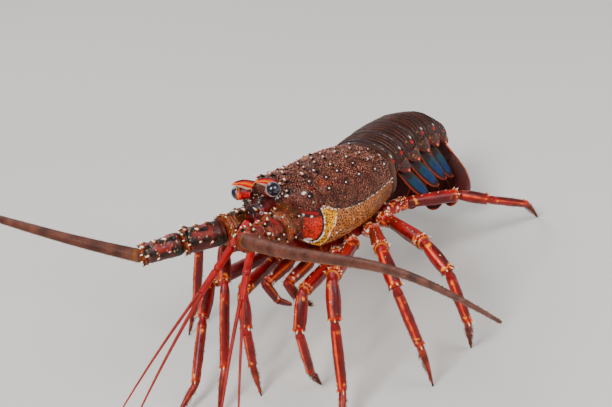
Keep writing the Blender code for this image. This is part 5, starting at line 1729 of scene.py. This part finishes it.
def ring_skin(k):
    """Points of one ring with their share along and angle around, 0 on the ridge and beyond 90 on the belly."""
    before, after = RING_WAYS[max(k - 1, 0)], RING_WAYS[min(k + 1, 5)]
    start_way = unit(before + RING_WAYS[k]) if k else np.array([0.0, 1.0, 0.0])
    end_way = unit(RING_WAYS[k] + after)
    first = RING_CENTRES[k] + start_way * (RING_GAP / 2 if k else 0.0)
    last = RING_CENTRES[k + 1] - end_way * RING_GAP / 2
    count = 40 if k == 0 else 84
    share = np.linspace(0.0, 1.0, count)
    swell = np.interp(share, (0.0, 0.35, 0.8, 1.0), (0.975, 1.0, 1.0, 0.985))
    wide = (RING_HALF_WIDTHS[k] * (1 - share) + RING_HALF_WIDTHS[k + 1] * share) * swell
    tall = (RING_HEIGHTS[k] * (1 - share) + RING_HEIGHTS[k + 1] * share) * swell
    way = unit(start_way * (1 - share[:, None]) + end_way * share[:, None])
    over = np.cross(np.array(LEFTWARDS), way)
    angle = np.linspace(-90.0, 90.0, 150)
    a = np.radians(angle)
    place = first + (last - first) * share[:, None]
    arch = place[:, None] + (wide[:, None] * np.sin(a))[..., None] * np.array(LEFTWARDS)
    arch = arch + over[:, None] * (tall[:, None] * np.abs(np.cos(a)) ** ARCH_POWER)[..., None]
    spots = np.linspace(0.94, -0.94, 16)
    belly = place[:, None] + (wide[:, None] * spots)[..., None] * np.array(LEFTWARDS)
    belly = belly - over[:, None] * RING_BELLY * np.sqrt(1 - spots**4)[None, :, None]
    points = np.concatenate([arch, belly], axis=1)
    around = np.broadcast_to(np.concatenate([angle, 180.0 + 0 * spots])[None], points.shape[:2])
    return points, np.broadcast_to(share[:, None], points.shape[:2]), around, place[:, None]


def ring_paint(k, points, share, around):
    """Dark maroon-brown ring: paler grooves, a pale hind lip, white and orange spots near the flaps."""
    wide = np.abs(around)
    millimetres = share * RING_LENGTHS[k]
    paint = coats(
        mottled(points, "2c0e0b", "3c1811", 6.0, 70.0 + k, 0.35, 0.7),
        ("38180e", 0.6 * step(wide, 45.0, 75.0) * step(120.0 - wide, 0.0, 20.0)),
    )
    scales = specks(points * np.array([0.5, 1.0, 0.5]), 0.9, 80.0, 0.2, 0.45)
    paint = coats(paint, ("6c3a28", 0.3 * scales * step(120 - wide, 0, 5)))
    if k > 0:
        for groove in RING_GROOVES:
            wave = millimetres - RING_LENGTHS[k] * groove - 0.25 * clouds(points, 4.0, 90.0)
            fading = 0.45 + 0.55 * specks(points, 5.0, 97.0, -0.2, 0.3)
            paint = coats(
                paint,
                ("120707", 0.8 * bell(wave + 0.45, 0.4) * step(104.0 - wide, 0, 8)),
                ("84502e", 0.5 * fading * bell(wave, 0.22) * step(104.0 - wide, 0, 8)),
            )
        paint = coats(paint, ("1d0b0a", 0.75 * step(1.6 - millimetres, 0.0, 0.8)))
    lip = RING_LENGTHS[k] - millimetres
    paint = coats(paint, ("8a5230", 0.7 * step(0.6 - lip, 0.0, 0.3)), ("1c0a09", 0.7 * bell(lip - 1.2, 0.35)))
    for angle, place, radius, code in RING_SPOTS:
        where = np.sqrt(((wide - angle) * 0.36) ** 2 + (millimetres - RING_LENGTHS[k] * place) ** 2)
        edge = where + 0.2 * clouds(points, 1.0, 95.0)
        paint = coats(paint, (code, step(radius + 0.3 - edge, 0.0, 0.45)))
    paint = coats(paint, ("9b5233", step(wide, 120.0, 150.0)))
    return paint


def leaf_grid(surface, shares, columns, thick):
    """Closed thin leaf round a surface; thick is an array over the shares."""
    turn = np.arange(columns) * 2 * math.pi / columns
    share, spot = np.meshgrid(shares, np.cos(turn), indexing="ij")
    height = np.sign(np.sin(turn)) * np.abs(np.sin(turn)) ** 0.5
    points, normal = surface(share, spot)
    points = points + normal * (height[None] * np.asarray(thick)[:, None] / 2)[..., None]
    return points, share, spot, np.broadcast_to(height[None], share.shape)


def pleuron_skin(k, side):
    """Pointed side flap of one ring, curved back to its tip."""
    along = RING_WAYS[k]
    over = np.cross(LEFTWARDS, along)
    length = RING_LENGTHS[k]
    wide = (RING_HALF_WIDTHS[k] + RING_HALF_WIDTHS[k + 1]) / 2
    middle = RING_CENTRES[k] + along * length * 0.5 + np.array([side * (wide - 1.7), 0.0, 0.0]) + over * 2.0
    tip = RING_CENTRES[k] + along * length * 0.76 + np.array([side * (wide - 0.6), 0.0, 0.0])
    tip = tip - over * PLEURON_DROPS[k]
    half = length / 2 - 0.8

    def surface(share, spot):
        centre = middle + (tip - middle) * share[..., None]
        spread = half * np.sqrt(np.clip(1 - share**2.2, 0.004, 1.0))
        bulge = side * 0.9 * (1 - spot**2) * (1 - share * 0.7)
        points = centre + along * (spot * spread)[..., None] + np.array(LEFTWARDS) * bulge[..., None]
        return points, np.broadcast_to(np.array([side, 0.0, 0.0]), points.shape)

    shares = np.sin(np.linspace(0.0, math.pi / 2, 40))
    points, share, spot, _ = leaf_grid(surface, shares, 48, np.linspace(2.1, 0.8, 40))
    paint = coats(
        "35170e",
        ("4c1c12", np.clip(0.5 + clouds(points, 4.0, 100.0 + k), 0, 1)),
        ("7a2c14", 0.6 * specks(points, 2.4, 107.0, 0.25, 0.45)),
        ("a8441a", 0.8 * step(np.maximum(np.abs(spot), share), 0.93, 0.99) * step(share, 0.2, 0.4)),
    )
    tip_spot = np.sqrt(((share - 0.9) * 6.5) ** 2 + (spot * 3.0) ** 2)
    paint = coats(
        paint,
        ("d8460c", step(1.25 - tip_spot, 0.0, 0.3)),
        ("f0a020", step(0.85 - tip_spot, 0.0, 0.3)),
        ("d89a5a", 0.8 * specks(points, 0.9, 104.0, 0.45, 0.55) * step(0.7 - share, 0, 0.1)),
    )
    return points, paint


def swimmeret_leaf(k, side):
    """Leaf-shaped swimmeret that hangs from the edge of the belly, and its rim in order."""
    along = RING_WAYS[k]
    over = np.cross(LEFTWARDS, along)
    wide = (RING_HALF_WIDTHS[k] + RING_HALF_WIDTHS[k + 1]) / 2
    root = RING_CENTRES[k] + along * RING_LENGTHS[k] * 0.6 + np.array([side * (wide - 5.0), 0.0, 0.0])
    root = root - over * 3.0
    down = unit(-over * 0.93 + along * 0.34 + np.array([side * 0.3, 0.0, 0.0]))
    broad = unit(along - down * np.dot(along, down))
    normal = np.cross(down, broad)

    def spread(share):
        full = 0.45 + 0.6 * np.sin(math.pi * np.minimum(share * 0.8 + 0.05, 1.0)) ** 0.8
        return SWIMMERET_WIDTH / 2 * full * np.sqrt(np.clip(1 - (share / 1.01) ** 6, 0.01, 1.0))

    def surface(share, spot):
        points = root + down * (SWIMMERET_LENGTH * share)[..., None] + broad * (spread(share) * spot)[..., None]
        cup = 0.9 * (1 - spot**2) - 0.25 * bell(spot, 0.08)
        return points + normal * cup[..., None] * side, np.broadcast_to(normal, points.shape)

    shares = 1 - (1 - np.linspace(0.0, 1.0, 70)) ** 1.3
    points, share, spot, _ = leaf_grid(surface, shares, 72, np.full(70, SWIMMERET_THICKNESS * 0.7))
    rim = np.maximum(np.abs(spot), share**3)
    paint = coats(
        "144c56",
        ("163e66", step(share + 0.15 * clouds(points, 4.0, 110.0), 0.4, 0.7)),
        ("0a2c50", 0.5 * specks(points, 2.5, 113.0, 0.0, 0.5)),
        ("2f100d", step(rim + 0.05 * clouds(points, 2.0, 119.0), 0.54, 0.72)),
        ("36180e", step(0.42 - share + 0.08 * clouds(points, 2.0, 44.0), 0.0, 0.12)),
        ("c45a18", step(rim, 0.91, 0.96)),
    )
    hairs = []
    draw = random.Random(300 + k)
    for _ in range(SWIMMERET_HAIRS):
        t = draw.uniform(0.25, 1.0)
        q = draw.choice((-1.0, 1.0)) if t < 0.93 else draw.uniform(-1.0, 1.0)
        here, _ = surface(np.array(t), np.array(q))
        out = broad * q + down * (0.7 if t < 0.93 else 1.6)
        foot = stand(here) - TURN @ unit(out) * 0.2
        hairs.append((foot, TURN @ out, TURN @ down, 0.07, draw.uniform(0.9, 1.7), q / 4 + 0.5, t))
    return points, paint, hairs


def build_ring(k):
    points, share, around, middle = ring_skin(k)
    out = unit(points - middle)
    wide = np.abs(around)
    millimetres = share * RING_LENGTHS[k]
    lip = RING_LENGTHS[k] - millimetres
    above = step(112.0 - wide, 0.0, 12.0)
    relief = 0.12 * clouds(points, 3.0, 60.0 + k) + 0.1 * clouds(points, 1.0, 64.0) * above
    if k > 0:
        for groove in RING_GROOVES:
            wave = millimetres - RING_LENGTHS[k] * groove
            relief = relief - 0.4 * above * bell(wave + 0.4, 0.45) + 0.12 * above * bell(wave - 0.3, 0.4)
        relief = relief - 0.7 * above * step(1.9 - millimetres, 0.0, 1.4)
    relief = relief + 0.35 * above * step(1.2 - lip, 0.0, 0.4) - 0.45 * above * bell(lip - 1.6, 0.45)
    relief = relief - 0.4 * bell(wide - 90.0, 4.0)
    paint = ring_paint(k, points, share, around)
    skins = [(stand(points + out * relief[..., None]), paint)]
    hairs = []
    draw = random.Random(400 + k)
    columns = np.flatnonzero(np.abs(around[0]) < 88)
    for groove in RING_GROOVES if k else ():
        row = int(groove * (len(points) - 1))
        for _ in range(GROOVE_HAIRS):
            column = int(draw.choice(columns))
            foot = points[row, column] + out[row, column] * 0.02
            way = out[row, column] * 0.55 + RING_WAYS[k]
            root = (around[row, column] / 360 + 0.5, groove)
            hairs.append((stand(foot), TURN @ way, TURN @ RING_WAYS[k], 0.055, draw.uniform(0.6, 1.1), *root))
    for side in (1.0, -1.0) if k else ():
        flap, flap_paint = pleuron_skin(k, side)
        skins.append((stand(flap), flap_paint))
    shell = cover(f"abdomen_{k + 1}_shell", skins, ABDOMEN_SHELL)
    pieces = [shell]
    if 1 <= k <= 4:
        leaves = [swimmeret_leaf(k, side) for side in (1.0, -1.0)]
        skins = [(stand(points), paint) for points, paint, _ in leaves]
        fans = cover(f"abdomen_{k + 1}_swimmerets", skins, SWIMMERET_SKIN)
        pieces.append(fans)
        hairs += leaves[0][2] + leaves[1][2]
    if hairs:
        pieces.append(grow(f"abdomen_{k + 1}_hairs", hairs, PALE_HAIR, bend=0.2, **HAIR_SHAPE))
    fit(f"abdomen_{k + 1}", "abdomen_shell", *pieces)


# Finely ridged lime shell, wet: dark maroon that shines along the ridges.
ABDOMEN_SHELL = shell_material("wet lime shell, ringed maroon", 0.7, 0.22, 0.42, 0.12)
# Leathery skin without lime, stretched thin: deep blue with a silky shine.
SWIMMERET_SKIN = shell_material("thin swimmeret skin, blue", 0.5, 0.1, 0.42, 0.1, "0a2440", 0.4)
# Short hairs of horn in rows: brown, paler to the tip, without gloss.
PALE_HAIR = spine_material("short brown hair", ((0.0, "2f160d"), (0.5, "5c3420"), (1.0, "8f6238")), 0.5)
for ring_number in range(6):
    build_ring(ring_number)

# Tail fan: a middle blade and two pairs of side blades, hard and spiny at the root, then a soft
# ribbed skin with a fringe of hair. It is hinged on the last ring and curled under the body.
# Length, widths at root and end, root to the side, splay in degrees and depth in the stack.
FAN_LEAVES = {
    "telson": (45.0, 13.0, 18.0, 0.0, 0.0, 0.0),
    "uropod_inner": (45.0, 6.0, 15.5, 7.0, 10.0, 2.0),
    "uropod_outer": (45.0, 5.0, 16.0, 10.0, 21.0, 4.0),
}
FAN_ROOT = 3.5
FAN_BEND = 57.0
FAN_CURL = 36.0
FAN_LENGTH = 36.0
FAN_ARCH = 0.006
FAN_RISE = 0.22
FAN_HAIRS = 900
FAN_THORNS = 26


def fan_sheet(x, s, layer):
    """Place and upward direction on the curled sheet of the fan: x to the left, s along it."""
    pitch = math.radians(RING_PITCHES[-1] + FAN_BEND)
    curl = math.radians(FAN_CURL) / FAN_LENGTH
    turned = pitch + curl * s
    along = (np.sin(turned) - math.sin(pitch)) / curl
    rise = (np.cos(turned) - math.cos(pitch)) / curl
    hinge = RING_CENTRES[-1] + RING_WAYS[-1] * RING_GAP
    hinge = hinge + np.cross(LEFTWARDS, RING_WAYS[-1]) * RING_HEIGHTS[-1] * FAN_RISE
    over = np.stack([0 * x, np.sin(turned), np.cos(turned)], axis=-1)
    return hinge + np.stack([x, along, rise], axis=-1) - over * (layer + FAN_ARCH * x * x)[..., None], over


def build_leaf(kind, side):
    length, root_wide, end_wide, root_x, splay, layer = FAN_LEAVES[kind]
    turn = math.radians(splay) * side

    def surface(share, spot):
        spread = root_wide + (end_wide - root_wide) * np.minimum(1.0, share * 1.6)
        spread = spread / 2 * np.sqrt(np.clip(1 - np.clip((share - 0.72) / 0.285, 0.0, 1.0) ** 2, 0.02, 1.0))
        s = -FAN_ROOT + (length + FAN_ROOT) * share
        across = spot * spread
        x = root_x * side + s * math.sin(turn) + across * math.cos(turn)
        y = s * math.cos(turn) - across * math.sin(turn)
        return fan_sheet(x, y, layer)

    count = 120
    shares = 1 - (1 - np.linspace(0.0, 1.0, count)) ** 1.25
    points, share, spot, height = leaf_grid(surface, shares, 160, np.linspace(1.3, 0.75, count))
    _, over = surface(share, spot)
    hard = step(0.36 - share + 0.04 * (1 - spot**2), 0.0, 0.05)
    ribs = np.cos(spot * 46.0 + 1.2 * np.sin(share * 9.0))
    relief = 0.16 * ribs * (1 - hard) + 0.35 * hard + 0.12 * clouds(points, 1.6, 130.0) * hard
    relief = relief * np.sign(height)
    relief = relief * step(1.02 - np.abs(spot), 0.0, 0.1)
    points = points + over * relief[..., None]
    rim = np.maximum(np.abs(spot) ** 3, share**5)
    paint = coats(
        mottled(points, "3c1012", "4c2213", 6.0, 140.0, 0.5, 0.9),
        ("6a3820", 0.4 * step(ribs, 0.2, 0.9) * (1 - hard)),
        ("240c10", 0.5 * step(-ribs, 0.5, 1.0) * (1 - hard)),
        ("5c1c18", 0.5 * step(share, 0.62, 0.85) * (1 - step(rim, 0.75, 0.9))),
        ("451a10", hard * 0.9),
        ("c8702a", 0.8 * hard * step(np.abs(spot), 0.85, 0.97)),
        ("c85c18", step(rim, 0.9, 0.96)),
    )
    name = kind if kind == "telson" else f"{kind}_{'left' if side > 0 else 'right'}"
    leaf = cover(f"{name}_blade", [(stand(points), paint)], FAN_SKIN)
    hairs, spikes = [], []
    draw = random.Random(500 + int(splay) + (1 if side > 0 else 0))
    for _ in range(FAN_HAIRS):
        t = draw.uniform(0.4, 1.0)
        q = draw.choice((-1.0, 1.0)) if t < 0.9 else draw.uniform(-1.0, 1.0)
        here, up = surface(np.array([t]), np.array([q]))
        nearer, _ = surface(np.array([t - 0.02]), np.array([q * 0.98]))
        way = unit(here[0] - nearer[0]) + np.array([q * 0.4, 0.0, 0.0])
        foot = stand(here[0] - unit(way) * 0.3)
        hairs.append((foot, TURN @ way, TURN @ up[0], 0.08, draw.uniform(0.8, 1.5), q / 4 + 0.5, t))
    for _ in range(FAN_THORNS):
        t, q = draw.uniform(0.12, 0.36), draw.uniform(-0.8, 0.8)
        here, up = surface(np.array([t]), np.array([q]))
        further, _ = surface(np.array([t + 0.02]), np.array([q]))
        along = unit(further[0] - here[0])
        foot, way = stand(here[0] + up[0] * 0.5), up[0] * 0.8 + along
        spikes.append((foot, TURN @ way, TURN @ along, 0.4, draw.uniform(0.9, 1.6), q / 4 + 0.5, t))
    fringe = grow(f"{name}_fringe", hairs, PALE_HAIR, bend=0.1, **HAIR_SHAPE)
    thorns = grow(f"{name}_thorns", spikes, LEG_SPIKE, sides=6, lengths=4, bend=0.2)
    fit(name, "tail_fan", leaf, fringe, thorns)


# Leathery skin with little lime: purple-brown, with a satin shine on the ribs.
FAN_SKIN = shell_material("soft ribbed fan skin, purple-brown", 0.6, 0.15, 0.5, 0.1)
build_leaf("telson", 0.0)
for fan_side in (1.0, -1.0):
    build_leaf("uropod_inner", fan_side)
    build_leaf("uropod_outer", fan_side)

bpy.context.view_layer.update()
